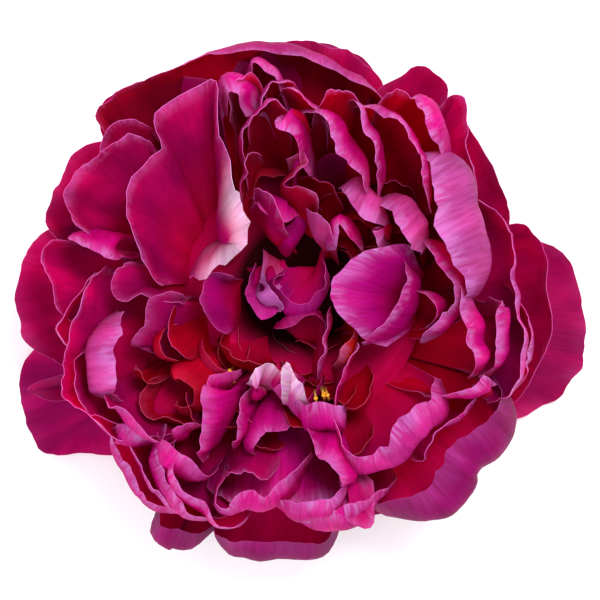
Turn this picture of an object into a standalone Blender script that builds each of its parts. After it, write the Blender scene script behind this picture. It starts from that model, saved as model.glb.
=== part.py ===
# A double peony bloom, picked just under the calyx and resting on its lowest guard petals.
# The origin is the middle of the footprint, on the surface that the bloom rests on.
import math

import bmesh
import bpy
from mathutils import Matrix, Vector

MM = 0.001

# Driving sizes, in millimetres. The petals are placed round the hollow, and the middle of the
# footprint lies a little beside it.
MIDDLE_X = 0.2
MIDDLE_Y = 0.4
PETAL_THICK = 0.8
ROOT_SINK = 3.0
GAP = 0.3
STUB_R = 3.8
STUB_END = 0.6
CALYX_R = 8.5
CALYX_TOP = 10.6
CALYX_OUTLINE = [(0, STUB_END), (STUB_R, STUB_END), (STUB_R, 4.0), (6.5, 7.0), (CALYX_R, 9.0),
                 (8.0, CALYX_TOP), (0, CALYX_TOP)]
CALYX_SIDES = 16
SEPALS = 5
FIRST_SEPAL = 20.0
SEPAL_CELLS = 4
SEPAL_ROOT = 5.0
SEPAL_LONG = 20.0
SEPAL_HALF = 8.0
SEPAL_THICK = 1.2
SEPAL_Z = 8.6
SEPAL_DROP = 4.0
SEPAL_CUP = 1.4
SEPAL_ROOT_TURN = 0.06
SEPAL_TIP_TURN = 0.72
SEPAL_FULLNESS = 0.8
SEPAL_ROUNDING = 0.25
SEPAL_BEND = 1.6
CORE_BASE = CALYX_TOP + GAP
CORE_SIDES = 16
HOLLOW_FLOOR = 24.5
CORE_OUTLINE = [(0, CORE_BASE), (9, CORE_BASE), (15, 15), (26, 22), (34, 32), (35, 40), (30, 45),
                (20, 42), (11, 33), (8, 26.5), (5.6, HOLLOW_FLOOR), (0, HOLLOW_FLOOR)]
CARPELS = 3
CARPEL_RING = 2.3
CARPEL_TURN = 0.5
CARPEL_SIDES = 8
CARPEL_SEAT = 0.5
CARPEL_OUTLINE = [(0, 0), (1.6, 0), (2.0, 3.0), (1.7, 6.0), (0.8, 8.5), (1.3, 10.0), (0, 10.5)]
DISC_OUTLINE = [(0, 0), (4.4, 0), (4.4, 1.4), (0, 2.0)]
DISC_SIDES = 12

# How a petal's lines run from its root to its margin. A line leaves its root steeper than the
# straight way to the margin by a share of the turn that it still has to make.
ARC_SHARE = 0.6
ROOT_PULL = 0.40
ROOT_SHARE = 0.5
LEAST_REACH = 0.35
SHOULDER = 0.14
START_STEPS = 40
NEIGHBOUR_SHARE = 0.5
MOST_START = math.radians(115)
# Where the margin runs off sideways, the blade's end is turned half way back to its radius.
# That fades out between these two angles.
TURN_BACK = 0.5
TURN_FROM = math.radians(60)
TURN_TO = math.radians(120)

# Each whorl of petals: radius and height of the root, its width, the least rise of the petal
# where it leaves the root, in degrees, and the cells across and along the blade.
WHORLS = {
    "guard": dict(r=8.0, most_r=8.0, z=13.0, width=14.0, rise=-2, across=5, along=3),
    "bowl": dict(r=10.0, most_r=16.0, z=19.0, width=14.0, rise=6, across=4, along=3),
    "crown": dict(r=13.0, most_r=24.0, z=25.0, width=14.0, rise=20, across=4, along=3),
    "heart": dict(r=13.5, most_r=18.0, z=27.0, width=11.0, rise=35, across=4, along=2),
    "hood": dict(r=30.0, most_r=30.0, z=32.0, width=14.0, rise=72, across=4, along=4),
}

# The petals that turn or fold the most take more cells, across and along.
MORE_CELLS = {"hero": (9, 4), "low_scoop": (8, 4), "right_sweep": (6, 4), "guard_top": (6, 4),
              "left_round": (6, 3), "bowl_right_low": (6, 4), "bowl_low": (4, 4), "left_wide": (6, 3),
              "low_wave": (6, 4), "guard_bottom": (5, 5)}

# Each petal: name, whorl, azimuth of its root in degrees, how far the direction of the margin
# reaches back into the blade, then the points of its free margin, listed with the petal's outer
# side on the left. A point is x, y, height and lean: the direction in which the petal ends there,
# in degrees from upright, positive where it falls outwards and negative where it curls in.
PETALS = [
    # Guard petals, the wide ones round the outside
    ("guard_back", "guard", 95, 0.32, [(-24, 42, 5, 82), (-21, 56, 2, 76), (-9, 64.5, 0, 70),
                                       (5, 66, 0, 70), (18, 61, 2, 76), (23, 48, 5, 82)]),
    ("guard_back_right", "guard", 45, 0.32, [(22, 50, 6, 82), (34, 49, 3, 76), (44, 39, 0, 72),
                                             (50, 27, 3, 76), (50, 14, 6, 82)]),
    ("guard_front_right", "guard", 305, 0.32, [(42, -26, 6, 82), (41, -40, 3, 76), (30, -50, 0, 70),
                                               (16, -55, 2, 76), (4, -50, 6, 82)]),
    ("guard_front_left", "guard", 250, 0.32, [(-6, -50, 6, 82), (-15, -58, 2, 76), (-29, -56, 0, 70),
                                              (-40, -48, 3, 76), (-44, -35, 6, 82)]),
    ("guard_back_left", "guard", 143, 0.32, [(-54, 14, 6, 82), (-55, 28, 3, 76), (-46, 41, 0, 72),
                                             (-34, 49, 3, 76), (-22, 48, 6, 82)]),
    ("guard_top", "guard", 105, 0.32, [(-50, 40, 34, 30), (-53.3, 48.5, 38, 35), (-47, 51.5, 41, 30),
                                       (-36, 56.3, 43, 15), (-24, 60.3, 45, -20), (-10, 62.8, 46, -40),
                                       (2, 61.5, 46, -40), (14, 58, 45, -35), (25, 53.5, 42, -15)]),
    ("guard_top_right", "guard", 58, 0.32, [(20, 57, 33, 45), (26.5, 57.8, 35, 45), (30.5, 59.6, 37, 40),
                                            (35, 57, 37, 40), (37.6, 53, 37, 40), (36.5, 47, 34, 45)]),
    ("ear_right", "bowl", 45, 0.32, [(32, 46, 42, 15), (36, 49.5, 46, 20), (40, 51.8, 48, 25),
                                     (41.2, 47, 49, 20), (42.8, 39, 50, 15), (45, 32, 51, 10),
                                     (47.5, 22, 50, 5)]),
    ("guard_right_back", "guard", 36, 0.32, [(38, 46, 28, 40), (42, 47, 33, 35), (44, 42, 36, 30),
                                             (49, 32, 38, 30), (53.8, 23.5, 39, 25), (54.5, 16, 38, 25)]),
    ("guard_right_mid", "guard", 0, 0.32, [(50, 20, 34, 35), (54.5, 20.3, 38, 35), (58.5, 18.8, 40, 30),
                                           (61.8, 11.5, 42, 20), (62.4, 0, 43, 5), (61.8, -11, 42, 0),
                                           (60, -22, 39, 5), (56, -31, 35, 10)]),
    ("guard_right", "guard", -8, 0.32, [(57, 18, 5, 82), (66.5, 12.5, 3, 76), (71.6, -4, 0, 70),
                                        (70, -17, 0, 70), (62.5, -27, 2, 76), (50, -34, 5, 82)]),
    ("guard_bottom", "guard", 265, 0.5, [(14, -56, 26, 0), (7, -61, 31, -30), (0, -60.3, 34, -45),
                                         (-13, -60.3, 34, -45), (-19, -61, 32, -30), (-24, -62.5, 28, -5)]),
    ("guard_left_low", "guard", 208, 0.32, [(-44, -42, 5, 82), (-55, -39.3, 2, 76), (-66, -38, 0, 72),
                                            (-71.2, -26, 0, 70), (-70.6, -15, 2, 76), (-62, -3, 6, 82)]),
    ("guard_left_up", "guard", 178, 0.32, [(-60, -20, 24, 60), (-69.6, -9.5, 28, 55), (-70.8, 3, 30, 55),
                                           (-68, 14.5, 32, 55), (-62, 22, 30, 60)]),
    ("guard_left_high", "guard", 152, 0.32, [(-64, 14, 32, 45), (-65, 20, 35, 40), (-62.3, 25.5, 37, 35),
                                             (-59.6, 31.5, 37, 35), (-56.2, 37.8, 36, 35),
                                             (-51, 44.5, 33, 40)]),
    # Bowl petals, large and cupped, which close round the flower
    ("bowl_right_low", "bowl", -45, 0.6, [(55, -20, 48, -5), (52, -28, 53, -30), (48, -31, 55, -45),
                                          (47.3, -37, 56, -55), (41, -42, 56, -55), (36, -45, 55, -50),
                                          (30.5, -50.3, 53, -45), (24, -54.5, 49, -20)]),
    ("bowl_low", "bowl", -75, 0.55, [(27, -49, 48, -5), (20, -48.6, 52, -30), (13, -49.8, 53, -50),
                                     (7.5, -52, 52, -50), (3, -54.5, 49, -35), (-1, -57, 45, -5)]),
    ("low_right_flag", "bowl", -42, 0.32, [(50, -29, 54, -10), (45, -31.5, 57, -15), (40, -36.3, 58, -10),
                                           (36, -37, 58, 0), (35.6, -42, 56, 5), (36.5, -46, 52, 0)]),
    ("strip_outer", "bowl", 224, 0.32, [(-28, -58, 36, -5), (-34.5, -52.3, 42, -35), (-38.5, -47.8, 44, -40),
                                        (-42, -43.5, 43, -40), (-46.5, -38, 40, -30), (-50, -33, 36, 0)]),
    ("strip_third", "bowl", 233, 0.32, [(-19, -58, 46, -5), (-25, -54, 51, -30), (-29.5, -49.5, 53, -45),
                                        (-33.3, -45, 54, -45), (-35.7, -39.5, 53, -40), (-37, -34, 49, -10)]),
    ("left_round", "bowl", 155, 0.32, [(-53, 13, 48, 15), (-57, 19.5, 52, 25), (-58.6, 26, 54, 30),
                                       (-55.5, 31.5, 56, 30), (-50, 37, 58, 30), (-41.5, 41.5, 60, 30),
                                       (-36, 40, 60, 20), (-33, 36, 57, 10)]),
    ("left_round_back", "bowl", 138, 0.32, [(-53, 36, 46, 30), (-49.5, 41.5, 50, 30), (-47, 44.3, 52, 25),
                                            (-41, 45.4, 53, 25), (-36, 44.5, 53, 20), (-33, 41, 52, 10)]),
    ("left_fold", "bowl", 172, 0.32, [(-61.5, 17.2, 48, -10), (-56, 14.6, 52, -40), (-50, 12.6, 55, -55),
                                      (-45, 11.3, 56, -60), (-41, 14, 55, -30)]),
    ("left_wide", "bowl", 190, 0.32, [(-46, -36, 50, -5), (-50, -30, 54, -10), (-53.5, -28, 55, 0),
                                      (-57.5, -25, 55, 0), (-59.5, -21, 56, 5), (-59, -15, 57, 5),
                                      (-56, -8.5, 58, 5), (-54.5, -1, 59, 5), (-54.8, 4, 58, 5),
                                      (-53, 9.5, 54, 0)]),
    ("right_rim", "bowl", 5, 0.32, [(47.5, 29, 44, 5), (51.5, 21, 49, -5), (53.8, 14, 52, -10),
                                    (53.2, 6, 54, -20), (54.6, -2, 55, -20), (56, -12, 55, -20),
                                    (53.5, -24, 53, -15), (52, -28, 50, -5)]),
    ("right_slat", "bowl", -8, 0.32, [(52, 0, 56, -10), (50.5, -0.3, 59, -35), (48.7, -1.5, 60, -50),
                                      (49, -8, 59, -50), (48.9, -14, 57, -45), (50, -21, 53, -20)]),
    ("low_lip", "bowl", 272, 0.4, [(12.5, -43, 50, -10), (9.5, -47, 54, -40), (6, -49.4, 55, -55),
                                   (0, -49.3, 55, -60), (-4.5, -50.2, 54, -50), (-8, -53, 50, -10)]),
    # Crown petals, upright and ruffled
    ("hero", "crown", 150, 0.3, [(-36, 4, 54, 10), (-40, 9.5, 58, 15), (-43, 17, 61, 20),
                                 (-43.7, 24, 62, 20), (-42, 30, 62, 20), (-38, 35, 61, 25),
                                 (-34.6, 38.5, 60, 25), (-36, 46, 59, 30), (-30, 51, 58, 35),
                                 (-21.5, 55.3, 58, 25), (-20.5, 48, 60, -10), (-20, 41, 62, -10),
                                 (-17.5, 34, 64, 0), (-16, 28, 65, 10), (-13.8, 24, 64, 25),
                                 (-12.8, 19, 62, 40), (-14.5, 13, 61, 45), (-19, 9, 60, 45),
                                 (-25, 5.5, 59, 35), (-29, 4, 57, 20)]),
    ("left_square", "crown", 178, 0.32, [(-30, 1, 50, 20), (-38, 1, 53, 30), (-45, 0.8, 54, 40),
                                         (-46, 7.5, 55, 40), (-45, 11, 55, 30)]),
    ("left_curl", "crown", 195, 0.5, [(-47.5, -26, 52, -30), (-46.5, -22, 56, -80), (-46, -14, 58, -85),
                                      (-46, -8, 57, -80), (-47, -2.5, 53, -30)]),
    ("left_low", "crown", 218, 0.32, [(-31, -37.5, 53, -5), (-35.5, -35, 56, -25), (-39.5, -31.5, 58, -40),
                                      (-43, -27.3, 58, -35), (-46.5, -25.4, 57, -15), (-49, -25.2, 56, -5),
                                      (-51.5, -22, 52, 0)]),
    ("low_left_sheet", "crown", 238, 0.4, [(-16, -18, 58, -20), (-21, -19.2, 61, -45),
                                           (-24, -21, 61, -55), (-24.4, -27, 60, -50), (-25, -33, 58, -40),
                                           (-25.5, -38, 56, -25), (-24.5, -42, 52, -5)]),
    ("top_fold_right", "crown", 62, 0.35, [(19, 46, 52, 10), (21.3, 51.3, 56, 15), (23.5, 53, 58, 15),
                                           (27, 51.3, 59, 5), (29.3, 50.3, 60, -35), (30.8, 45.5, 62, -70),
                                           (33, 41, 63, -70), (35.8, 38, 62, -50), (38, 33, 59, -20)]),
    ("right_arch", "crown", 50, 0.32, [(14, 51.5, 60, -10), (17, 48.5, 63, -50), (20.5, 45.6, 65, -65),
                                       (24.5, 44.7, 65, -40), (26.5, 41.5, 66, -45), (28.7, 37.2, 67, -50),
                                       (31.4, 33.3, 67, -50), (32.2, 29.5, 67, -50), (34.5, 23.5, 64, -20)]),
    ("top_band_two", "crown", 66, 0.32, [(13, 53.5, 61, -5), (13.8, 49, 64, -35), (15.7, 45, 66, -45),
                                         (17.3, 41, 68, -55), (18.5, 36.5, 68, -60), (20, 32.8, 67, -50),
                                         (21.6, 28, 64, -20)]),
    ("top_band_one", "crown", 74, 0.42, [(-1, 50.5, 62, -10), (4.5, 48, 65, -30), (7.2, 44, 68, -60),
                                         (8.5, 39.3, 70, -75), (11, 35.8, 70, -75), (14.5, 32.8, 69, -70),
                                         (17.2, 29.3, 66, -30)]),
    ("top_sheet", "crown", 108, 0.32, [(-13, 30, 55, 0), (-14, 38, 58, -10), (-13.2, 44, 60, -15),
                                       (-9.5, 47.3, 61, -20), (-7.5, 49.5, 62, -20), (-4.5, 48.7, 61, -10),
                                       (-2, 46, 59, 0)]),
    ("right_sweep", "crown", 22, 0.55, [(31, 40, 61, -5), (33, 34.5, 66, -45), (33.8, 27, 69, -75),
                                        (33.8, 20, 70, -82), (36.5, 13, 70, -75), (40, 7, 69, -50),
                                        (41.8, 1.5, 67, -25), (42.8, -2.5, 62, -5)]),
    ("right_wave", "crown", 2, 0.3, [(31, 16, 60, -15), (33, 13, 63, -50), (36, 8.5, 64, -55),
                                     (38, 3.8, 64, -50), (37.8, 0, 63, -40), (35, -2.8, 62, -55),
                                     (33, -6.5, 61, -60), (31.8, -10.5, 57, -30)]),
    ("right_scoop", "crown", -40, 0.3, [(52.5, -21.5, 59, 0), (47.5, -19.3, 62, -50), (44, -20.2, 62, -65),
                                        (40.5, -21.8, 61, -50), (35, -25, 58, 0)]),
    ("low_scoop", "crown", -50, 0.45, [(37, -20, 60, -20), (34, -24.8, 62, -60), (30, -25.6, 64, -80),
                                       (26, -27.8, 65, -80), (23.5, -31.5, 64, -75), (21.5, -36.3, 62, -55),
                                       (18, -38.4, 60, -45), (13, -38.2, 59, -35), (10, -33, 57, -5),
                                       (9, -26, 57, 5), (10.8, -20, 58, 5), (13, -15, 58, 0),
                                       (16.5, -9.5, 56, 0)]),
    ("low_wave", "crown", 258, 0.45, [(3, -40, 54, -15), (-1, -43, 57, -40), (-5, -46.3, 58, -50),
                                      (-9, -47.7, 58, -50), (-13, -47.4, 58, -50), (-16, -49, 57, -40),
                                      (-17.5, -51.6, 56, -20), (-20.5, -50.3, 55, -15), (-20, -45, 52, -5)]),
    ("low_mid", "crown", 246, 0.32, [(-11, -23, 54, -5), (-14.3, -25.5, 57, -20), (-15.3, -29, 58, -25),
                                     (-15.6, -33, 57, -25), (-15.5, -36, 55, -15), (-17.3, -39.5, 50, 0)]),
    ("arch_two", "crown", 28, 0.4, [(19.5, 27, 60, -15), (21.5, 23.3, 63, -60), (24, 18.5, 65, -80),
                                    (27.5, 14.3, 65, -80), (31.5, 12.8, 62, -40)]),
    ("left_inner", "crown", 192, 0.32, [(-37, -14, 46, 20), (-43, -11.5, 50, 40), (-41, -8, 52, 40),
                                        (-38, -5.5, 53, 40), (-37.5, -1.5, 54, 45), (-34.5, 1.8, 54, 40),
                                        (-31, 2, 52, 20)]),
    # Heart petals, small and curled, round the hollow
    ("arch_one", "heart", 32, 0.45, [(9.8, 31, 57, -20), (11.5, 27, 60, -65), (14.2, 22.6, 61, -80),
                                     (18.5, 19.4, 61, -75), (22.5, 19.8, 58, -30)]),
    ("dome_fold", "crown", -16, 0.42, [(27.5, 11, 59, 0), (26.8, 6, 62, -30), (25.5, 1.5, 63, -40),
                                       (22.5, -3, 63, -45), (19, -7, 62, -40), (16.5, -10.5, 58, -10)]),
    ("centre_left", "heart", 180, 0.32, [(-18.5, -8.5, 48, 10), (-22.5, -3.5, 51, 30), (-24.3, 1.5, 52, 35),
                                         (-22.5, 7, 52, 25), (-17, 7, 50, 10)]),
    ("knot_top", "heart", 112, 0.5, [(-12, 28, 46, 0), (-11, 25, 50, -50), (-8.5, 22, 51, -80),
                                     (-5, 20.3, 51, -90), (-2, 20, 50, -80), (0.5, 23, 48, -40)]),
    ("knot_low", "heart", 120, 0.8, [(-12, -6, 42, -30), (-8, -3, 45, -75), (-3, 0, 46, -85),
                                     (2, 1.5, 46, -85), (5.5, 3, 44, -60)]),
    # The hood, one broad petal that arches from the right far over the hollow
    ("dome", "hood", 2, 0.42, [(27, 15, 57, -60), (19, 13.6, 58, -80), (13, 10.5, 57, -90),
                               (8.8, 6, 55, -95), (8, 1.5, 55, -95), (10, -3, 55, -95),
                               (14, -8.3, 55, -85), (21, -12, 55, -50)]),
]


def clear_scene():
    for obj in list(bpy.data.objects):
        bpy.data.objects.remove(obj, do_unlink=True)


def make_material(name, rgb, roughness):
    mat = bpy.data.materials.new(name)
    mat.use_nodes = True
    shader = mat.node_tree.nodes["Principled BSDF"]
    shader.inputs["Base Color"].default_value = (*rgb, 1.0)
    shader.inputs["Roughness"].default_value = roughness
    return mat


def margin_at(points, share):
    """A point of the smooth line through the margin's points, and its lean."""
    place = share * (len(points) - 1)
    i = min(int(place), len(points) - 2)
    t = place - i
    before = points[max(i - 1, 0)]
    after = points[min(i + 2, len(points) - 1)]
    out = []
    for a, b, c, d in zip(before, points[i], points[i + 1], after):
        out.append(b + 0.5 * t * (c - a + t * (2 * a - 5 * b + 4 * c - d + t * (3 * (b - c) + d - a))))
    return Vector(out[:3]), out[3]


def turn_flat(vector, angle):
    """A level vector turned about the upright."""
    cos_a, sin_a = math.cos(angle), math.sin(angle)
    return Vector((vector.x * cos_a - vector.y * sin_a, vector.x * sin_a + vector.y * cos_a, 0.0))


def depth_in_core(point):
    """How deep a point lies in the core, in millimetres, and negative outside it."""
    r = math.hypot(point.x, point.y)
    z = point.z
    near = 1e9
    inside = False
    for (r1, z1), (r2, z2) in zip(CORE_OUTLINE, CORE_OUTLINE[1:]):
        dr, dz = r2 - r1, z2 - z1
        t = min(max(((r - r1) * dr + (z - z1) * dz) / (dr * dr + dz * dz), 0.0), 1.0)
        near = min(near, math.hypot(r - r1 - t * dr, z - z1 - t * dz))
        if (z1 > z) != (z2 > z) and r < r1 + (z - z1) / dz * dr:
            inside = not inside
    return near if inside else -near


def blade_start(curve):
    """The last place along a line of the petal that is sunk in the core."""
    start = 0.0
    for i in range(START_STEPS):
        t = i / START_STEPS
        if depth_in_core(curve(t)) > ROOT_SINK:
            start = t
    return start


def petal_lines(petal, across, along, whole=True):
    """Rows of points from the root to the margin, one row for each step across the petal.
    Where whole is false, a row starts only where it leaves the core."""
    whorl_name, azimuth, pull, points = petal
    whorl = WHORLS[whorl_name]
    angle = math.radians(azimuth)
    out = Vector((math.cos(angle), math.sin(angle), 0.0))
    beside = Vector((out.y, -out.x, 0.0))
    rim = [margin_at(points, i / across) for i in range(across + 1)]
    wide = sum(place.xy.length for place, lean in rim) / len(rim)
    middle = out * min(max(ROOT_SHARE * wide, whorl["r"]), whorl["most_r"]) + Vector((0, 0, whorl["z"]))
    least = math.radians(whorl["rise"])
    span = Vector(points[-1][:2]) - Vector(points[0][:2])
    run = sum((b[0].xy - a[0].xy).length for a, b in zip(rim, rim[1:]))
    spread = (span / run).to_3d() + beside * (1 - span.length / run)
    spread.normalize()
    lines = []
    for i in range(across + 1):
        end, lean = rim[i]
        ahead = rim[min(i + 1, across)][0] - rim[max(i - 1, 0)][0]
        side = Vector((-ahead.y, ahead.x, 0.0)).normalized()
        offset = 2 * i / across - 1
        root = middle + spread * offset * whorl["width"] / 2
        end = root.lerp(end, 1 - SHOULDER * offset ** 4)
        chord = end - root
        radial = Vector((chord.x, chord.y, 0.0)).normalized()
        swing = side.xy.angle_signed(radial.xy, 0.0)
        fade = min(max((TURN_TO - abs(swing)) / (TURN_TO - TURN_FROM), 0.0), 1.0)
        level = turn_flat(side, -TURN_BACK * fade * swing)
        if whorl_name == "hood":  # arches straight over from its root
            level = -radial
        tilt = math.radians(lean)
        last = level * math.sin(tilt) + Vector((0, 0, math.cos(tilt)))
        reach = max(chord.dot(out), LEAST_REACH * chord.length)
        plane = (out * reach + beside * chord.dot(beside)).normalized()
        climb = math.atan2(chord.z, chord.dot(plane))
        finish = math.atan2(last.z, last.dot(plane))
        start = min(max(climb + ARC_SHARE * (climb - finish), least), MOST_START)
        first = plane * math.cos(start) + Vector((0, 0, math.sin(start)))
        p1 = root + first * ROOT_PULL * chord.length
        p2 = end - last * pull * chord.length

        def curve(t, a=root, b=p1, c=p2, d=end):
            s = 1 - t
            return a * s ** 3 + b * 3 * s * s * t + c * 3 * s * t * t + d * t ** 3

        start = 0.0 if whole else blade_start(curve)
        lines.append([curve(start + (1 - start) * j / along) for j in range(along + 1)])
    return lines


def grid_normals(lines):
    """The way a blade faces at each point, evened out with the ways round it by their areas."""
    rows, cols = len(lines), len(lines[0])
    facing = []
    for i in range(rows):
        row = []
        for j in range(cols):
            across = lines[min(i + 1, rows - 1)][j] - lines[max(i - 1, 0)][j]
            along = lines[i][min(j + 1, cols - 1)] - lines[i][max(j - 1, 0)]
            row.append(across.cross(along))
        facing.append(row)
    normals = []
    for i in range(rows):
        row = []
        for j in range(cols):
            total = facing[i][j].copy()
            for k in (i - 1, i + 1):
                if 0 <= k < rows:
                    total += NEIGHBOUR_SHARE * facing[k][j]
            row.append(total.normalized())
        normals.append(row)
    return normals


def blade(name, lines, thick, mat):
    """A closed blade of even thickness on a grid of lines, both faces split into triangles alike.
    Where it comes down to the surface it lies flat on it."""
    normals = grid_normals(lines)
    bm = bmesh.new()
    faces = []
    for side in (-1, 1):
        floor = 0.0 if side < 0 else thick
        grid = []
        for line, row in zip(lines, normals):
            verts = []
            for point, normal in zip(line, row):
                place = point + normal * side * thick / 2
                place.z = max(place.z, floor)
                verts.append(bm.verts.new(place * MM))
            grid.append(verts)
        faces.append(grid)
    back, front = faces
    rows, cols = len(back), len(back[0])
    for i in range(rows - 1):
        for j in range(cols - 1):
            for grid in (back, front):
                a, b, c, d = grid[i][j], grid[i + 1][j], grid[i + 1][j + 1], grid[i][j + 1]
                bm.faces.new((a, b, c))
                bm.faces.new((a, c, d))
    ring = [(i, 0) for i in range(rows)] + [(rows - 1, j) for j in range(1, cols)]
    ring += [(i, cols - 1) for i in range(rows - 2, -1, -1)] + [(0, j) for j in range(cols - 2, 0, -1)]
    for (i, j), (k, m) in zip(ring, ring[1:] + ring[:1]):
        a, b, c, d = back[i][j], back[k][m], front[k][m], front[i][j]
        bm.faces.new((a, b, c))
        bm.faces.new((a, c, d))
    bmesh.ops.recalc_face_normals(bm, faces=bm.faces)
    return mesh_object(name, bm, mat)


def petal_blade(petal, mat):
    name, whorl_name, azimuth, pull, points = petal
    whorl = WHORLS[whorl_name]
    across, along = MORE_CELLS.get(name, (whorl["across"], whorl["along"]))
    lines = petal_lines(petal[1:], min(across, len(points) - 1), along, whole=False)
    return blade(name, lines, PETAL_THICK, mat)


def mesh_object(name, bm, mat):
    mesh = bpy.data.meshes.new(name)
    bm.to_mesh(mesh)
    bm.free()
    mesh.materials.append(mat)
    mesh.shade_smooth()
    obj = bpy.data.objects.new(name, mesh)
    bpy.context.scene.collection.objects.link(obj)
    return obj


def turned_solid(name, outline, sides, mat):
    """A solid of revolution. The outline runs from the axis at the bottom to the axis at the top."""
    bm = bmesh.new()
    bottom = bm.verts.new((0, 0, outline[0][1] * MM))
    rings = []
    for radius, height in outline[1:-1]:
        ring = []
        for i in range(sides):
            angle = 2 * math.pi * i / sides
            ring.append(bm.verts.new((radius * MM * math.cos(angle), radius * MM * math.sin(angle),
                                      height * MM)))
        rings.append(ring)
    top = bm.verts.new((0, 0, outline[-1][1] * MM))
    for i in range(sides):
        k = (i + 1) % sides
        bm.faces.new((bottom, rings[0][k], rings[0][i]))
        bm.faces.new((top, rings[-1][i], rings[-1][k]))
        for low, high in zip(rings, rings[1:]):
            bm.faces.new((low[i], low[k], high[k], high[i]))
    bmesh.ops.recalc_face_normals(bm, faces=bm.faces)
    return mesh_object(name, bm, mat)


def join_collection(base, pieces):
    """One Boolean union of the pieces with the base, applied, with the pieces then removed."""
    group = bpy.data.collections.new(base.name + "_pieces")
    bpy.context.scene.collection.children.link(group)
    for piece in pieces:
        group.objects.link(piece)
        bpy.context.scene.collection.objects.unlink(piece)
    union = base.modifiers.new("union", "BOOLEAN")
    union.operation = "UNION"
    union.operand_type = "COLLECTION"
    union.collection = group
    union.solver = "EXACT"
    bpy.context.view_layer.update()
    evaluated = base.evaluated_get(bpy.context.evaluated_depsgraph_get())
    joined = bpy.data.meshes.new_from_object(evaluated)
    base.modifiers.remove(union)
    base.data = joined
    for piece in pieces:
        bpy.data.objects.remove(piece, do_unlink=True)
    bpy.data.collections.remove(group)
    return base


def keep_main_body(obj):
    """Drops loose scraps and fills sealed hollows: only the body with the most points stays."""
    bm = bmesh.new()
    bm.from_mesh(obj.data)
    bmesh.ops.triangulate(bm, faces=bm.faces)
    left = set(bm.verts)
    bodies = []
    while left:
        stack = [left.pop()]
        body = set(stack)
        while stack:
            for edge in stack.pop().link_edges:
                for vert in edge.verts:
                    if vert in left:
                        left.remove(vert)
                        body.add(vert)
                        stack.append(vert)
        bodies.append(body)
    bodies.sort(key=len)
    for body in bodies[:-1]:
        bmesh.ops.delete(bm, geom=list(body), context="VERTS")
    bm.to_mesh(obj.data)
    bm.free()


def build_bloom():
    mat = make_material("petal_magenta", (0.33, 0.008, 0.10), 0.45)
    core = turned_solid("bloom", CORE_OUTLINE, CORE_SIDES, mat)
    blades = [petal_blade(petal, mat) for petal in PETALS]
    join_collection(core, blades)
    keep_main_body(core)
    return core


def sepal_lines(azimuth, across, along):
    """A rounded, cupped sepal that spreads from the receptacle and droops a little."""
    angle = math.radians(azimuth)
    out = Vector((math.cos(angle), math.sin(angle), 0.0))
    beside = Vector((out.y, -out.x, 0.0))
    lines = []
    for i in range(across + 1):
        offset = 2 * i / across - 1
        line = []
        for j in range(along + 1):
            t = j / along
            turn = SEPAL_ROOT_TURN + (SEPAL_TIP_TURN - SEPAL_ROOT_TURN) * t
            half = SEPAL_HALF * math.sin(math.pi * turn) ** SEPAL_FULLNESS
            reach = SEPAL_ROOT + SEPAL_LONG * t * (1 - SEPAL_ROUNDING * offset ** 2)
            height = SEPAL_Z - SEPAL_DROP * t ** SEPAL_BEND + SEPAL_CUP * offset ** 2 * t
            line.append(out * reach + beside * offset * half + Vector((0, 0, height)))
        lines.append(line)
    return lines


def build_calyx():
    mat = make_material("sepal_green", (0.10, 0.20, 0.05), 0.6)
    calyx = turned_solid("calyx", CALYX_OUTLINE, CALYX_SIDES, mat)
    sepals = []
    for i in range(SEPALS):
        lines = sepal_lines(FIRST_SEPAL + i * 360 / SEPALS, SEPAL_CELLS, SEPAL_CELLS)
        sepals.append(blade("sepal", lines, SEPAL_THICK, mat))
    join_collection(calyx, sepals)
    keep_main_body(calyx)
    return calyx


def build_carpels():
    mat = make_material("carpel_felt", (0.45, 0.40, 0.20), 0.8)
    disc = turned_solid("carpels", DISC_OUTLINE, DISC_SIDES, mat)
    flasks = []
    for i in range(CARPELS):
        flask = turned_solid("carpel", CARPEL_OUTLINE, CARPEL_SIDES, mat)
        angle = 2 * math.pi * i / CARPELS + CARPEL_TURN
        place = Vector((CARPEL_RING * math.cos(angle), CARPEL_RING * math.sin(angle), CARPEL_SEAT))
        flask.data.transform(Matrix.Translation(place * MM))
        flasks.append(flask)
    join_collection(disc, flasks)
    keep_main_body(disc)
    disc.data.transform(Matrix.Translation((0, 0, (HOLLOW_FLOOR + GAP) * MM)))
    return disc


def main():
    clear_scene()
    for piece in (build_bloom(), build_calyx(), build_carpels()):
        piece.data.transform(Matrix.Translation((-MIDDLE_X * MM, -MIDDLE_Y * MM, 0)))


main()
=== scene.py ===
# A fully double magenta peony bloom, picked under the calyx and resting on its lowest guard petals.
import math
import random
from functools import partial

import bpy
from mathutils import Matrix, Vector, noise


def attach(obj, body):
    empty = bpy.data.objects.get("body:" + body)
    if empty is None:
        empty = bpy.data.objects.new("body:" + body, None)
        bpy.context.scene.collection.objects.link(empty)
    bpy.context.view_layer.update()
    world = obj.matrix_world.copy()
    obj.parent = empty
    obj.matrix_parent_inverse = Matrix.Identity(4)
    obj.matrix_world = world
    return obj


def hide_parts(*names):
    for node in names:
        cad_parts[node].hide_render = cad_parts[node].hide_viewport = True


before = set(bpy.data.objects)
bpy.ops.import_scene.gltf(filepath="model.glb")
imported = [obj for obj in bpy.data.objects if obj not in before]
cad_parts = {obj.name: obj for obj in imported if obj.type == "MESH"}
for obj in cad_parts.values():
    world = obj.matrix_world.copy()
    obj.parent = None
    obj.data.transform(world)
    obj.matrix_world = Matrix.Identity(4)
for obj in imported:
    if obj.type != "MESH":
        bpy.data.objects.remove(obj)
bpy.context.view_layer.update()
print("stage: CAD frame loaded")

mm = 0.001
axis = Vector((-0.2, -0.4, 0.0))  # the flower's axis in mm, a little beside the middle of the footprint


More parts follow.
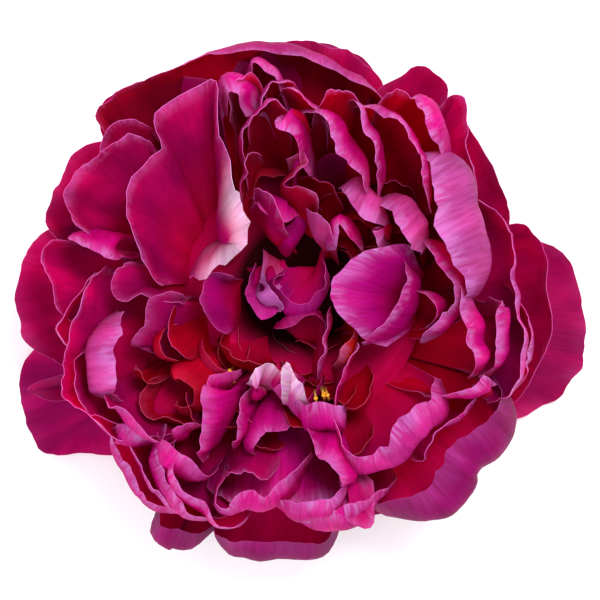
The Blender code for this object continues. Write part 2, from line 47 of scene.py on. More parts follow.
def linear(hexText):
    # an sRGB hex colour as linear RGBA
    out = []
    for k in (1, 3, 5):
        value = int(hexText[k:k + 2], 16) / 255
        out.append(value / 12.92 if value <= 0.04045 else ((value + 0.055) / 1.055) ** 2.4)
    return (*out, 1.0)


def addNode(tree, kind, settings=None, links=None):
    # a node with its settings, which are properties or sockets, and its incoming links, each from an
    # output or from the first output of a node
    made = tree.nodes.new("ShaderNode" + kind)
    for key, value in (settings or {}).items():
        if isinstance(key, str) and hasattr(made, key):
            setattr(made, key, value)
        else:
            made.inputs[key].default_value = value
    for key, source in (links or {}).items():
        output = source.outputs[0] if isinstance(source, bpy.types.Node) else source
        tree.links.new(output, made.inputs[key])
    return made


def newMaterial(name):
    # an empty material, and addNode for its node tree
    mat = bpy.data.materials.new(name)
    mat.use_nodes = True
    mat.node_tree.nodes.clear()
    return mat, partial(addNode, mat.node_tree)


def deselect():
    if bpy.context.object and bpy.context.object.mode != "OBJECT":
        bpy.ops.object.mode_set(mode="OBJECT")
    bpy.ops.object.select_all(action="DESELECT")


def joinPieces(pieces, name):
    deselect()
    for piece in pieces:
        piece.select_set(True)
    bpy.context.view_layer.objects.active = pieces[0]
    bpy.ops.object.join()
    joined = bpy.context.object
    joined.name = name
    joined.data.name = name
    return joined


def flatGrid(name, across, along):
    # a flat sheet of cells from -1 to 1, which the blades are shaped from
    deselect()
    bpy.ops.mesh.primitive_grid_add(x_subdivisions=across, y_subdivisions=along, size=2.0)
    sheet = bpy.context.object
    sheet.name = name
    sheet.data.name = name
    return sheet


def thicken(piece, thick, **settings):
    # gives a sheet its wall, half to each side, and shades it smooth
    shell = piece.modifiers.new("thickness", "SOLIDIFY")
    shell.thickness = thick * mm
    shell.offset = 0.0
    for key, value in settings.items():
        setattr(shell, key, value)
    deselect()
    piece.select_set(True)
    bpy.context.view_layer.objects.active = piece
    bpy.ops.object.modifier_apply(modifier=shell.name)
    bpy.ops.object.shade_smooth_by_angle(angle=math.radians(60))


# Studio: camera straight above, pale floor, soft light
studio = {
    "cameraHeight": 2.04,  # far off with a long lens, as the photo shows almost no perspective
    "frameWide": 0.150,  # what the picture shows across, at the height of the petals' rims
    "rimHeight": 0.045,
    "lookAt": (0.0, 0.0, 0.03),
    "floor": "#F4F2F3",
    "floorGlow": 0.12,  # lifts the sheet towards the white of the photo
    "lamps": {  # place and size in m, power in W, colour
        "key": ((0.26, 0.42, 1.2), 0.5, 15.2, "#FFFBF6"),
        "fill": ((-0.7, -0.5, 1.0), 1.2, 8.0, "#F6F8FF"),
    },
    "sky": "#FDFDFF",
    "skyPower": 1.0,
}


def softLamp(name, place, size, power, colour):
    bpy.ops.object.light_add(type="AREA", location=place)
    lamp = bpy.context.object
    lamp.name = name
    lamp.data.shape = "DISK"
    lamp.data.size = size
    lamp.data.energy = power
    lamp.data.color = linear(colour)[:3]
    toward = Vector(studio["lookAt"]) - lamp.location
    lamp.rotation_euler = toward.to_track_quat("-Z", "Y").to_euler()


def buildStudio():
    deselect()
    bpy.ops.object.camera_add(location=(0.0, 0.0, studio["cameraHeight"]), rotation=(0.0, 0.0, 0.0))
    camera = bpy.context.object
    camera.name = "camera"
    away = studio["cameraHeight"] - studio["rimHeight"]
    camera.data.lens = camera.data.sensor_width * away / studio["frameWide"]
    camera.data.clip_end = 20.0
    bpy.context.scene.camera = camera

    bpy.ops.mesh.primitive_plane_add(size=8.0)
    floor = bpy.context.object
    floor.name = "floor"
    mat, add = newMaterial("matte white paper sweep")
    paper = linear(studio["floor"])
    shader = add("BsdfPrincipled", {"Base Color": paper, "Roughness": 0.9, "Specular IOR Level": 0.1,
                                    "Emission Color": paper, "Emission Strength": studio["floorGlow"]})
    add("OutputMaterial", None, {"Surface": shader})
    floor.data.materials.append(mat)

    for name, values in studio["lamps"].items():
        softLamp(name, *values)
    world = bpy.data.worlds.new("soft daylight")
    bpy.context.scene.world = world
    world.use_nodes = True
    sky = world.node_tree.nodes["Background"]
    sky.inputs["Color"].default_value = linear(studio["sky"])
    sky.inputs["Strength"].default_value = studio["skyPower"]
    bpy.context.scene.view_settings.view_transform = "Standard"
    print("stage: studio set")


buildStudio()

# How the petals of each whorl grow: radius of the root, at least and at most, its height and width,
# the least rise of the petal where it leaves the root in degrees, and how its rim is ruffled, in mm.
whorls = {
    "guard": dict(r=8.0, mostR=8.0, z=13.0, width=14.0, rise=-2, wave=9.0, waveTall=1.4,
                  crimpTall=0.4, creaseTall=0.25, notch=1.1),
    "bowl": dict(r=10.0, mostR=16.0, z=19.0, width=14.0, rise=6, wave=8.0, waveTall=1.7,
                 crimpTall=0.75, creaseTall=0.3, notch=1.4),
    "crown": dict(r=13.0, mostR=24.0, z=25.0, width=14.0, rise=20, wave=6.5, waveTall=2.0,
                  crimpTall=1.0, creaseTall=0.3, notch=1.7),
    "heart": dict(r=13.5, mostR=18.0, z=27.0, width=11.0, rise=35, wave=5.0, waveTall=1.6,
                  crimpTall=0.6, creaseTall=0.3, notch=1.3),
    "hood": dict(r=30.0, mostR=30.0, z=32.0, width=14.0, rise=72, wave=9.0, waveTall=0.9,
                 crimpTall=0.3, creaseTall=0.3, notch=1.2),
}
petalForm = {  # lengths in mm, angles in degrees
    "thick": 0.35,  # a real petal, a little thickened so that it casts a clean edge
    "thinRim": 0.22,  # share of the thickness left at the rim
    "thinOver": 2.5,  # how far from the rim the full thickness is reached
    "rootShare": 0.5,  # radius of the root as a share of the rim's
    "rootPull": 0.40,  # length of the root's handle, as a share of the blade
    "arcShare": 0.6,  # how much steeper than straight a petal starts that ends flatter
    "mostStart": 115.0,
    "leastReach": 0.35,  # least that a line runs outwards, as a share of its length
    "shoulder": 0.14,  # how far the rim's two ends are drawn back
    "evenParts": 16,  # the rim's direction is read over one such part of it, to even out notches
    "swingShare": 0.5,  # a rim that turns away from the radius is led halfway back to it,
    "mostSwing": 120.0,  # and not at all past this angle
    "swingFade": 60.0,
    "cells": ((1.3, 12, 64), (2.2, 10, 32)),  # across and along: length, fewest and most
    "waveFrom": 0.4,  # share of the blade where the waves begin
    "sideWave": 0.4,
    "crimp": 2.4,
    "crease": 5.0,
    "dent": 6.0,
    "dentTall": 0.8,
    "notchWide": 5.0,
    "smallNotch": 0.35,  # share of a notch that the small ones between have
    "smallNotchWide": 1.9,
    "lowest": 0.2,
    "margin": 3.4,  # how far the paler margin reaches in
    "marginMost": {"face": 0.5, "back": 0.75},  # share of lilac in it
    "marginFrom": 0.75,  # share of the blade below which it fades out towards the root
    "marginFade": 12.0,
    "lessPale": 5.5,  # how far the pale line is pushed out over the rim of a petal with no pallor
    "cloud": (7.0, 9.0),  # size of the pale clouds along the rim and across it
    "patchFade": 0.08,  # share of the rim over which a blush patch begins and ends; on the hero it is partly a painted highlight
}

# Each petal: whorl, azimuth of its root in degrees, how far the direction of the rim reaches back
# into the blade, then the points of its rim, with the petal's outer side on the left. A point is
# x, y and height in mm from the flower's axis, and the lean in which the petal ends there, in
# degrees from upright, positive outwards and negative where it curls in.
petals = {
    # Guard petals, the wide ones round the outside, the lowest of them reflexed
    "guard_back": ("guard", 95, 0.32, (-24, 42, 5, 82), (-21, 56, 2, 76), (-9, 64.5, 0, 70),
        (5, 66, 0, 70), (18, 61, 2, 76), (23, 48, 5, 82)),
    "guard_back_right": ("guard", 45, 0.32, (22, 50, 6, 82), (34, 49, 3, 76), (44, 39, 0, 72),
        (50, 27, 3, 76), (50, 14, 6, 82)),
    "guard_front_right": ("guard", 305, 0.32, (42, -26, 6, 82), (41, -40, 3, 76), (30, -50, 0, 70),
        (16, -55, 2, 76), (4, -50, 6, 82)),
    "guard_front_left": ("guard", 250, 0.32, (-6, -50, 6, 82), (-15, -58, 2, 76), (-29, -56, 0, 70),
        (-40, -48, 3, 76), (-44, -35, 6, 82)),
    "guard_back_left": ("guard", 143, 0.32, (-54, 14, 6, 82), (-55, 28, 3, 76), (-46, 41, 0, 72),
        (-34, 49, 3, 76), (-22, 48, 6, 82)),
    "guard_top_back": ("guard", 90, 0.32, (-25, 52, 28, 60), (-13, 62, 33, 50), (0, 65, 35, 45),
        (13, 63, 33, 50), (25, 56, 28, 60)),
    "guard_top_left": ("guard", 128, 0.32, (-52, 40, 30, 50), (-51, 47, 32, 50), (-46.5, 52, 34, 45),
        (-38, 56.3, 35, 45), (-22, 60, 34, 50)),
    "guard_top": ("guard", 105, 0.32, (-50, 40, 34, 30), (-53.3, 48.5, 38, 35), (-47, 51.5, 41, 30),
        (-36, 56.3, 43, 15), (-24, 60.3, 45, -20), (-10, 62.8, 46, -40), (2, 61.5, 46, -40),
        (14, 58, 45, -35), (25, 53.5, 42, -15)),
    "guard_top_right": ("guard", 58, 0.32, (20, 57, 33, 45), (26.5, 57.8, 35, 45),
        (30.5, 59.6, 37, 40), (35, 57, 37, 40), (37.6, 53, 37, 40), (36.5, 47, 34, 45)),
    "guard_right_back": ("guard", 36, 0.32, (38, 46, 28, 40), (42, 47, 33, 35), (44, 42, 36, 30),
        (49, 32, 38, 30), (53.8, 23.5, 39, 25), (54.5, 16, 38, 25)),
    "guard_right_mid": ("guard", 0, 0.32, (50, 20, 34, 35), (54.5, 20.3, 38, 35),
        (58.5, 18.8, 40, 30), (61.8, 11.5, 42, 20), (62.4, 0, 43, 5), (61.8, -11, 42, 0),
        (60, -22, 39, 5), (56, -31, 35, 10)),
    "guard_right": ("guard", -8, 0.32, (57, 18, 5, 82), (68, 12.5, 3, 76), (73.1, -4, 0, 70),
        (71.5, -17, 0, 70), (64, -27, 2, 76), (50, -34, 5, 82)),
    "guard_bottom": ("guard", 265, 0.5, (14, -56, 26, 0), (7, -61, 31, -30), (0, -60.3, 34, -45),
        (-13, -60.3, 34, -45), (-19, -61, 32, -30), (-24, -62.5, 28, -5)),
    "guard_bottom_left": ("guard", 240, 0.5, (-21, -60, 22, 0), (-26, -59.5, 27, -35),
        (-31, -56.9, 29, -50), (-36, -57.3, 28, -35), (-39, -54, 24, 0)),
    "guard_left_low": ("guard", 208, 0.32, (-44, -42, 5, 82), (-55, -39.3, 2, 76), (-66, -38, 0, 72),
        (-71.2, -26, 0, 70), (-70.6, -15, 2, 76), (-62, -3, 6, 82)),
    "guard_tongue": ("guard", 200, 0.32, (-58, -25.5, 22, 50), (-63, -25, 22, 60),
        (-67.8, -22.8, 22, 65), (-65, -19.6, 22, 60), (-58, -18.5, 22, 50)),
    "guard_left_up": ("guard", 178, 0.32, (-60, -20, 24, 60), (-69.6, -9.5, 28, 55),
        (-70.8, 3, 30, 55), (-68, 14.5, 32, 55), (-62, 22, 30, 60)),
    "guard_left_high": ("guard", 152, 0.32, (-64, 14, 32, 45), (-65, 20, 35, 40),
        (-62.3, 25.5, 37, 35), (-59.6, 31.5, 37, 35), (-56.2, 37.8, 36, 35), (-51, 44.5, 33, 40)),
    # Bowl petals, large and cupped, which close round the flower
    "ear_right": ("bowl", 45, 0.32, (32, 46, 42, 15), (36, 49.5, 46, 20), (40, 51.8, 48, 25),
        (41.2, 47, 49, 20), (42.8, 39, 50, 15), (45, 32, 51, 10), (47.5, 22, 50, 5)),
    "bowl_right_low": ("bowl", -45, 0.6, (55, -20, 46, -5), (52, -26.5, 52, -35),
        (47.5, -30, 55, -55), (40.5, -34, 56, -68), (36.5, -38, 56, -72), (35, -43, 55, -70),
        (31, -47, 53, -62), (24, -51, 50, -45), (16, -54, 45, -10)),
    "bowl_low": ("bowl", -75, 0.55, (27, -49, 48, -5), (20, -48.6, 52, -30), (13, -49.8, 53, -50),
        (7.5, -52, 52, -50), (3, -54.5, 49, -35), (-1, -57, 45, -5)),
    "bowl_bottom": ("bowl", 262, 0.5, (-26, -50, 41, -10), (-19, -50.5, 45, -40), (-10, -51, 47, -60),
        (0, -51.5, 47, -60), (7, -51, 45, -45), (13, -50, 41, -10)),
    "low_tab": ("bowl", -72, 0.25, (19, -49.5, 52, 40), (18.4, -52.5, 52, 75), (17, -56.2, 51, 85),
        (11.5, -54.3, 52, 75), (12, -51, 52, 40)),
    "low_right_flag": ("bowl", -42, 0.32, (48, -23, 52, -10), (42.5, -26.5, 56, -20),
        (37, -30, 57, -20), (33, -33.5, 57, -10), (31.5, -38.5, 55, -5), (31.5, -43, 51, -5)),
    "strip_outer": ("bowl", 224, 0.32, (-28, -58, 36, -5), (-34.5, -52.3, 42, -35),
        (-38.5, -47.8, 44, -40), (-42, -43.5, 43, -40), (-46.5, -38, 40, -30), (-50, -33, 36, 0)),
    "strip_second": ("bowl", 228, 0.32, (-21, -60, 40, 0), (-27.5, -54.5, 46, -15),
        (-33.8, -49.3, 48, -20), (-38.4, -44.3, 48, -20), (-42, -38.5, 46, -10), (-45, -34, 42, 0)),
    "strip_third": ("bowl", 233, 0.32, (-19, -58, 46, -5), (-25, -54, 51, -30),
        (-29.5, -49.5, 53, -45), (-33.3, -45, 54, -45), (-35.7, -39.5, 53, -40), (-37, -34, 49, -10)),
    "strip_fourth": ("bowl", 238, 0.32, (-14, -60, 46, -5), (-19.5, -56.5, 51, -25),
        (-23.5, -51.5, 54, -40), (-28.5, -46.5, 56, -35), (-32, -41.3, 56, -30), (-34, -36, 52, -10)),
    "left_round": ("bowl", 155, 0.32, (-53, 13, 48, 15), (-57, 19.5, 52, 25), (-58.6, 26, 54, 30),
        (-55.5, 31.5, 56, 30), (-50, 37, 58, 30), (-42, 41, 59, 30), (-37.5, 39.5, 56, 20),
        (-36, 36, 49, 10)),
    "left_round_back": ("bowl", 138, 0.32, (-53, 36, 46, 30), (-49.5, 41.5, 50, 30),
        (-47, 44.3, 52, 25), (-41, 45, 52, 25), (-37.5, 44, 49, 20), (-36.5, 41, 42, 10)),
    "left_fold": ("bowl", 172, 0.32, (-61.5, 17.2, 48, -10), (-56, 14.6, 52, -40),
        (-50, 12.6, 55, -55), (-46.5, 11, 54, -60), (-44.5, 13, 49, -30)),
    "left_band": ("bowl", 178, 0.32, (-58, -8, 42, 0), (-60.5, -1, 45, 10), (-62.5, 6, 46, 10),
        (-64, 12, 45, 10), (-64.5, 16.5, 42, 10)),
    "left_outer_wave": ("bowl", 186, 0.32, (-58, -14, 48, 0), (-60.5, -8, 50, 0), (-60, -4, 50, 0),
        (-57, 1, 50, 0), (-54, 8, 48, 0)),
    "left_wide": ("bowl", 190, 0.32, (-46, -36, 50, -5), (-50, -30, 54, -10), (-53.5, -28, 55, 0),
        (-57.5, -25, 55, 0), (-59.5, -21, 56, 5), (-59, -15, 57, 5), (-56, -8.5, 58, 5),
        (-54.5, -1, 59, 5), (-54.8, 4, 58, 5), (-53, 9.5, 54, 0)),
    "left_wall": ("bowl", 205, 0.32, (-44, -38, 48, -5), (-50, -31.5, 52, -5), (-54, -24, 54, -5),
        (-56.5, -17, 54, -5), (-57.5, -12, 53, -5)),
    "left_low_tip": ("bowl", 217, 0.45, (-34, -37, 46, -5), (-38, -34.3, 50, -35),
        (-41, -32, 52, -50), (-44, -30.8, 52, -50), (-47, -31.7, 50, -35), (-50, -34, 45, -5)),
    "right_rim": ("bowl", 5, 0.32, (47.5, 29, 44, 5), (51.5, 21, 49, -5), (53.8, 14, 52, -10),
        (53.2, 6, 54, -20), (54.6, -2, 55, -20), (56, -12, 55, -20), (53.5, -24, 53, -15),
        (52, -28, 50, -5)),
    "right_rim_low": ("bowl", -16, 0.32, (57, 4, 46, 0), (57.5, -6, 50, -10), (57.8, -14, 50, -10),
        (56.5, -18, 49, -10), (55.5, -27, 46, -5)),
    "right_slat": ("bowl", -8, 0.32, (52, 0, 56, -10), (50.5, -0.3, 59, -35), (48.7, -1.5, 60, -50),
        (49, -8, 59, -50), (48.9, -14, 57, -45), (50, -21, 53, -20)),
    "top_spear": ("bowl", 98, 0.25, (-14, 59, 46, -5), (-12.4, 60.2, 50, -35), (-9.5, 57.5, 53, -55),
        (-6.5, 55.2, 54, -55), (-3, 53, 52, -20)),
    "low_lip": ("bowl", 272, 0.4, (12.5, -43, 50, -10), (9.5, -47, 54, -40), (6, -49.4, 55, -55),
        (0, -49.3, 55, -60), (-4.5, -50.2, 54, -50), (-8, -53, 50, -10)),
    # Crown petals, upright and ruffled
    "hero": ("crown", 150, 0.4, (-36, 4, 54, 10), (-40, 9.5, 58, 15), (-43, 17, 61, 20),
        (-43.7, 24, 62, 20), (-42, 30, 62, 20), (-38, 35, 61, 25), (-34.6, 38.5, 60, 25),
        (-36, 46, 59, 30), (-30, 51, 58, 35), (-21.5, 55.3, 58, 25), (-20.5, 48, 60, 5),
        (-20, 41, 62, 10), (-17.5, 34, 64, 25), (-16, 28, 65, 55), (-13.8, 24, 64, 100),
        (-12.8, 19, 62, 118), (-14.5, 13, 61, 120), (-19, 9, 60, 112), (-25, 5.5, 59, 80),
        (-29, 4, 57, 40)),
    "left_square": ("crown", 178, 0.32, (-30, 1, 50, 20), (-38, 1, 53, 30), (-45, 0.8, 54, 40),
        (-46, 7.5, 55, 40), (-45, 11, 55, 30)),
    "left_curl": ("crown", 195, 0.5, (-47.5, -26, 52, -30), (-46.5, -22, 56, -80),
        (-46, -14, 58, -85), (-46, -8, 57, -80), (-47, -2.5, 53, -30)),
    "left_low": ("crown", 218, 0.32, (-31, -37.5, 53, -5), (-35.5, -35, 56, -25),
        (-39.5, -31.5, 58, -40), (-43, -27.3, 58, -35), (-46.5, -25.4, 57, -15), (-49, -25.2, 56, -5),
        (-51.5, -22, 52, 0)),
    "left_low_flap": ("crown", 228, 0.3, (-24, -31, 52, -10), (-27.5, -30.3, 54, -40),
        (-31, -32, 55, -50), (-34.5, -34.8, 53, -30)),
    "low_left_scoop": ("crown", 234, 0.5, (-22, -44, 54, -15), (-24.5, -41.5, 56, -50),
        (-28.5, -38, 57, -65), (-32.5, -35.6, 56, -65), (-36, -35.5, 53, -30)),
    "low_left_sheet": ("crown", 238, 0.4, (-16, -18, 58, -20), (-21, -19.2, 61, -45),
        (-24, -21, 61, -55), (-24.4, -27, 60, -50), (-25, -33, 58, -40), (-25.5, -38, 56, -25),
        (-24.5, -42, 52, -5)),
    "top_fold_right": ("crown", 62, 0.35, (19, 46, 52, 10), (21.3, 51.3, 56, 15), (23.5, 53, 58, 15),
        (27, 51.3, 59, 5), (29.3, 50.3, 60, -35), (30.8, 45.5, 62, -70), (33, 41, 63, -70),
        (35.8, 38, 62, -50), (38, 33, 59, -20)),
    "right_arch": ("crown", 50, 0.28, (14, 51.5, 60, -5), (17, 48.5, 63, -35), (20.5, 45.6, 65, -45),
        (24.5, 44.7, 65, -28), (26.5, 41.5, 66, -28), (28.7, 37.2, 67, -30), (31.4, 33.3, 67, -30),
        (32.2, 29.5, 67, -30), (34.5, 23.5, 64, -10)),
    "top_band_two": ("crown", 66, 0.28, (13, 53.5, 61, 0), (13.8, 49, 64, -20), (15.7, 45, 66, -30),
        (17.3, 41, 68, -35), (18.5, 36.5, 68, -38), (20, 32.8, 67, -32), (21.6, 28, 64, -10)),
    "top_band_one": ("crown", 74, 0.32, (-1, 50.5, 62, -5), (4.5, 48, 65, -20), (7.2, 44, 68, -38),
        (8.5, 39.3, 70, -50), (11, 35.8, 70, -52), (14.5, 32.8, 69, -45), (17.2, 29.3, 66, -20)),
    "top_round": ("crown", 78, 0.32, (3.5, 48, 59, 5), (5.8, 51.5, 62, 15), (9, 53.2, 63, 15),
        (12, 52.6, 63, 10), (15.5, 51, 62, 0)),
    "top_line": ("crown", 84, 0.32, (-5, 55, 57, 0), (0, 52.8, 61, 0), (3, 50, 63, -10),
        (7, 47.3, 62, -5)),
    "top_fin": ("crown", 76, 0.35, (-4.5, 49, 61, -20), (-5.5, 46.5, 64, -60), (-5, 43.5, 65, -75),
        (-2.5, 41, 65, -75), (0.5, 37, 63, -40), (2, 34, 60, -10)),
    "top_sheet": ("crown", 108, 0.32, (-13, 30, 55, 0), (-14, 38, 58, -10), (-13.2, 44, 60, -15),
        (-9.5, 47.3, 61, -20), (-7.5, 49.5, 62, -20), (-4.5, 48.7, 61, -10), (-2, 46, 59, 0)),
    "top_slant": ("crown", 104, 0.32, (-14, 43, 55, 0), (-11, 48, 58, -5), (-8.5, 52.5, 59, -10),
        (-5, 55.5, 58, -10), (-1, 57, 55, 0)),
    "top_tab": ("crown", 108, 0.32, (-18, 49, 52, 5), (-16.3, 55, 56, 15), (-14, 56.8, 57, 15),
        (-11, 56, 57, 10), (-8, 53, 55, 5)),
    "top_strand": ("crown", 112, 0.32, (-16, 27, 54, 0), (-13.5, 31, 58, -10), (-12.3, 35, 59, -10),
        (-10.5, 38.5, 58, 0)),
    "right_sweep": ("crown", 22, 0.55, (31, 40, 61, -5), (33.0, 34.5, 66, -45), (33.8, 27, 69, -75),
        (33.8, 20, 70, -82), (36.5, 13, 70, -75), (40, 7.0, 69, -50), (41.8, 1.5, 67, -25),
        (42.8, -2.5, 62, -5)),
    "right_wave": ("crown", 2, 0.3, (31, 16, 60, -15), (33, 13, 63, -50), (36, 8.5, 64, -55),
        (38, 3.8, 64, -50), (37.8, 0, 63, -40), (35, -2.8, 62, -55), (33, -6.5, 61, -60),
        (31.8, -10.5, 57, -30)),
    "right_bar": ("crown", -14, 0.35, (41, 4, 66, -20), (40.7, -3, 66, -45), (41.8, -9, 65, -50),
        (43.6, -14, 63, -45), (44.8, -19, 59, -20)),
    "right_scoop": ("crown", -40, 0.3, (52.5, -21.5, 59, 0), (47.5, -19.3, 62, -50),
        (44, -20.2, 62, -65), (40.5, -21.8, 61, -50), (35, -25, 58, 0)),
    "low_scoop": ("crown", -50, 0.45, (37, -20, 60, -20), (34, -24.8, 62, -60), (30, -25.6, 64, -80),
        (26, -27.8, 65, -80), (23.5, -31.5, 64, -75), (21.5, -36.3, 62, -55), (18, -38.4, 60, -45),
        (13, -38.2, 59, -35), (10, -33, 57, -5), (9, -26, 57, 5), (10.8, -20, 58, 5),
        (13, -15, 58, 0), (16.5, -9.5, 56, 0)),
    "low_wave": ("crown", 258, 0.45, (3, -40, 54, -15), (-1, -43, 57, -40), (-5, -46.3, 58, -50),
        (-9, -47.7, 58, -50), (-13, -47.4, 58, -50), (-16, -49, 57, -40), (-17.5, -51.6, 56, -20),
        (-20.5, -50.3, 55, -15), (-20, -45, 52, -5)),
    "low_wave_back": ("crown", 250, 0.32, (-6, -45, 54, 0), (-9.5, -43.6, 57, 10),
        (-13.2, -42.2, 58, 15), (-16.3, -43.3, 57, 10), (-19, -46, 54, 0)),
    "low_ridge": ("crown", 282, 0.35, (2, -32, 56, -10), (5, -37, 59, -35), (8.3, -40, 60, -50),
        (9.4, -44, 59, -55), (10.5, -47.5, 55, -20)),
    "low_mid": ("crown", 246, 0.32, (-11, -23, 54, -5), (-14.3, -25.5, 57, -20),
        (-15.3, -29, 58, -25), (-15.6, -33, 57, -25), (-15.5, -36, 55, -15), (-17.3, -39.5, 50, 0)),
    "low_mid_two": ("crown", 256, 0.32, (-11.5, -40, 52, -10), (-10.8, -36, 55, -40),
        (-9.3, -33.3, 56, -50), (-6.5, -31.9, 56, -40), (-2, -33.5, 53, -10)),
    "arch_two": ("crown", 28, 0.4, (19.5, 27, 60, -15), (21.5, 23.3, 63, -60), (24, 18.5, 65, -80),
        (27.5, 14.3, 65, -80), (31.5, 12.8, 62, -40)),
    "left_inner": ("crown", 192, 0.32, (-37, -14, 46, 20), (-43, -11.5, 50, 40), (-41, -8, 52, 40),
        (-38, -5.5, 53, 40), (-37.5, -1.5, 54, 45), (-34.5, 1.8, 54, 40), (-31, 2, 52, 20)),
    "dome": ("hood", 2, 0.42, (27, 15, 57, -60), (19, 13.6, 58, -80), (13, 10.5, 57, -90),
        (8.8, 6, 55, -95), (8, 1.5, 55, -95), (10, -3, 55, -95), (14, -8.3, 55, -85),
        (21, -12, 55, -50)),
    "dome_fold": ("crown", -16, 0.42, (27.5, 11, 59, 0), (26.8, 6, 62, -30), (25.5, 1.5, 63, -40),
        (22.5, -3, 63, -45), (19, -7, 62, -40), (16.5, -10.5, 58, -10)),
    # Small crumpled petals that show between the larger ones
    "top_crumple": ("crown", 108, 0.4, (-19, 50, 55, -20), (-17.5, 52, 58, -60), (-15, 51.8, 58, -60),
        (-14.3, 49.5, 57, -40)),
    "rosette_left": ("crown", 203, 0.4, (-42, -19, 46, 0), (-41, -17.5, 48, 20),
        (-38.5, -18.3, 48, 20), (-38, -22, 46, 0)),
    "rosette_low": ("crown", 218, 0.4, (-37, -20, 44, 0), (-38, -26, 46, 10), (-33, -30, 46, 10),
        (-27, -30.5, 46, 0), (-25, -27, 45, -10)),
    "rosette_middle": ("crown", 217, 0.4, (-33, -20, 46, -30), (-30, -19, 47, -50),
        (-27, -22, 47, -60), (-28, -26, 46, -50), (-32, -27, 45, -30)),
    # Heart petals, small and curled, round the hollow
    "centre_strand": ("heart", 88, 0.3, (-2.5, 37, 60, 10), (0.8, 37.8, 61, 30), (1.8, 34.5, 61, 40),
        (-1, 32, 60, 20), (-4.3, 29, 57, 10), (-1, 28, 56, 20), (4, 27, 56, 20), (5, 24, 54, 10)),
    "arch_one": ("heart", 32, 0.45, (9.8, 31, 57, -20), (11.5, 27, 60, -65), (14.2, 22.6, 61, -80),
        (18.5, 19.4, 61, -75), (22.5, 19.8, 58, -30)),
    "arch_small": ("heart", 25, 0.4, (22, 20, 57, -20), (18.5, 18.3, 59, -60), (18.2, 15.8, 59, -75),
        (19.8, 13.7, 58, -70), (23, 13, 56, -30)),
    "cone": ("heart", 40, 0.3, (8.5, 13, 52, -10), (8.8, 16, 55, -40), (10, 18.7, 56, -50),
        (12.3, 15.8, 56, -50), (15, 13.3, 54, -20)),
    "low_square": ("heart", 277, 0.55, (12, -34, 52, -20), (11.6, -27, 57, -50),
        (9.5, -25.6, 58, -70), (4, -25.4, 58, -75), (0, -25.2, 57, -70), (-2.5, -27, 55, -40)),
    "low_point": ("heart", 268, 0.4, (3, -28, 55, -20), (0.5, -22, 59, -60), (-3.2, -15.2, 61, -75),
        (-4.8, -21, 60, -60), (-4, -27, 56, -20)),
    "low_frill": ("heart", 245, 0.5, (-3.5, -20, 57, -30), (-6.5, -16.4, 60, -60),
        (-9.5, -16, 61, -70), (-12.3, -18, 60, -60), (-13.5, -22, 57, -30)),
    "centre_left": ("heart", 180, 0.32, (-18.5, -8.5, 48, 10), (-22.5, -3.5, 51, 30),
        (-24.3, 1.5, 52, 35), (-22.5, 7, 52, 25), (-17, 7, 50, 10)),
    "knot_top": ("heart", 112, 0.5, (-12, 28, 46, 0), (-11, 25, 50, -50), (-8.5, 22, 51, -80),
        (-5, 20.3, 51, -90), (-2, 20, 50, -80), (0.5, 23, 48, -40)),
    "knot_side": ("heart", 96, 0.45, (-1, 24, 38, -10), (0, 22, 41, -50), (-1, 20, 41, -60),
        (-3, 18.8, 40, -60), (-6, 20, 38, -40)),
    "knot_low": ("heart", 135, 0.5, (-9, 9, 42, 0), (-13, 5, 45, -20), (-13, 0, 47, -50),
        (-9, -4, 48, -60), (-4, -3, 47, -50), (-2, 2, 44, -10)),
    "knot_mid": ("heart", 65, 0.5, (6, 9, 42, 0), (6, 4, 46, -30), (2.5, 0.5, 48, -60),
        (-2.5, 0, 48, -60), (-6, 4, 46, -30), (-6.5, 8, 42, 0)),
    "knot_base": ("heart", 290, 0.5, (-7, -4, 42, 0), (-6, -7.5, 45, -20), (-1, -5, 47, -60),
        (3.5, -4, 46, -50), (6.5, -7, 43, 0)),
    "knot_curl": ("heart", 112, 0.5, (-12.5, 25, 52, -10), (-10.5, 27.5, 56, 20), (-7, 26.5, 57, 40),
        (-4.5, 22, 57, 30), (-3.5, 18.5, 54, 0)),
    "knot_frill": ("heart", 118, 0.5, (-10, 3.5, 48, 0), (-8, 4, 51, 40), (-6, 1, 52, 50),
        (-4.5, -2, 50, 20), (-6.5, -4, 47, 0)),
    "knot_scrap": ("heart", 60, 0.5, (1.5, 24, 54, 0), (4.5, 22, 56, 30), (7, 18.5, 55, 20),
        (8.5, 15, 52, 0)),
    "centre_sheet": ("heart", 285, 0.4, (8.5, 0, 48, 0), (6.8, -6, 52, -15), (5.2, -13, 54, -20),
        (4.8, -19.5, 52, 0)),
    "centre_ember": ("heart", 310, 0.4, (14, -4, 46, 0), (12.5, -9, 50, -25), (10.5, -13, 51, -40),
        (9, -17, 48, -10)),
    "centre_wall": ("heart", 200, 0.4, (-21, -12, 46, 10), (-16, -14, 50, 30), (-10, -15, 51, 35),
        (-5, -17, 48, 10)),
    "right_tip": ("crown", -8, 0.4, (30, 3, 58, 0), (31.5, 1, 61, -30), (33, -2, 62, -40),
        (33.5, -6, 59, -10)),
}


def rimPoint(points, share):
    # a point of the smooth curve through the rim's points, and its lean
    place = share * (len(points) - 1)
    i = min(int(place), len(points) - 2)
    t = place - i
    before = points[max(i - 1, 0)]
    after = points[min(i + 2, len(points) - 1)]
    out = []
    for a, b, c, d in zip(before, points[i], points[i + 1], after):
        out.append(b + 0.5 * t * (c - a + t * (2 * a - 5 * b + 4 * c - d + t * (3 * (b - c) + d - a))))
    return Vector(out[:3]), out[3]


def heading(angle):
    # the level direction at this angle in radians, and the one to its right
    out = Vector((math.cos(angle), math.sin(angle), 0.0))
    return out, Vector((out.y, -out.x, 0.0))


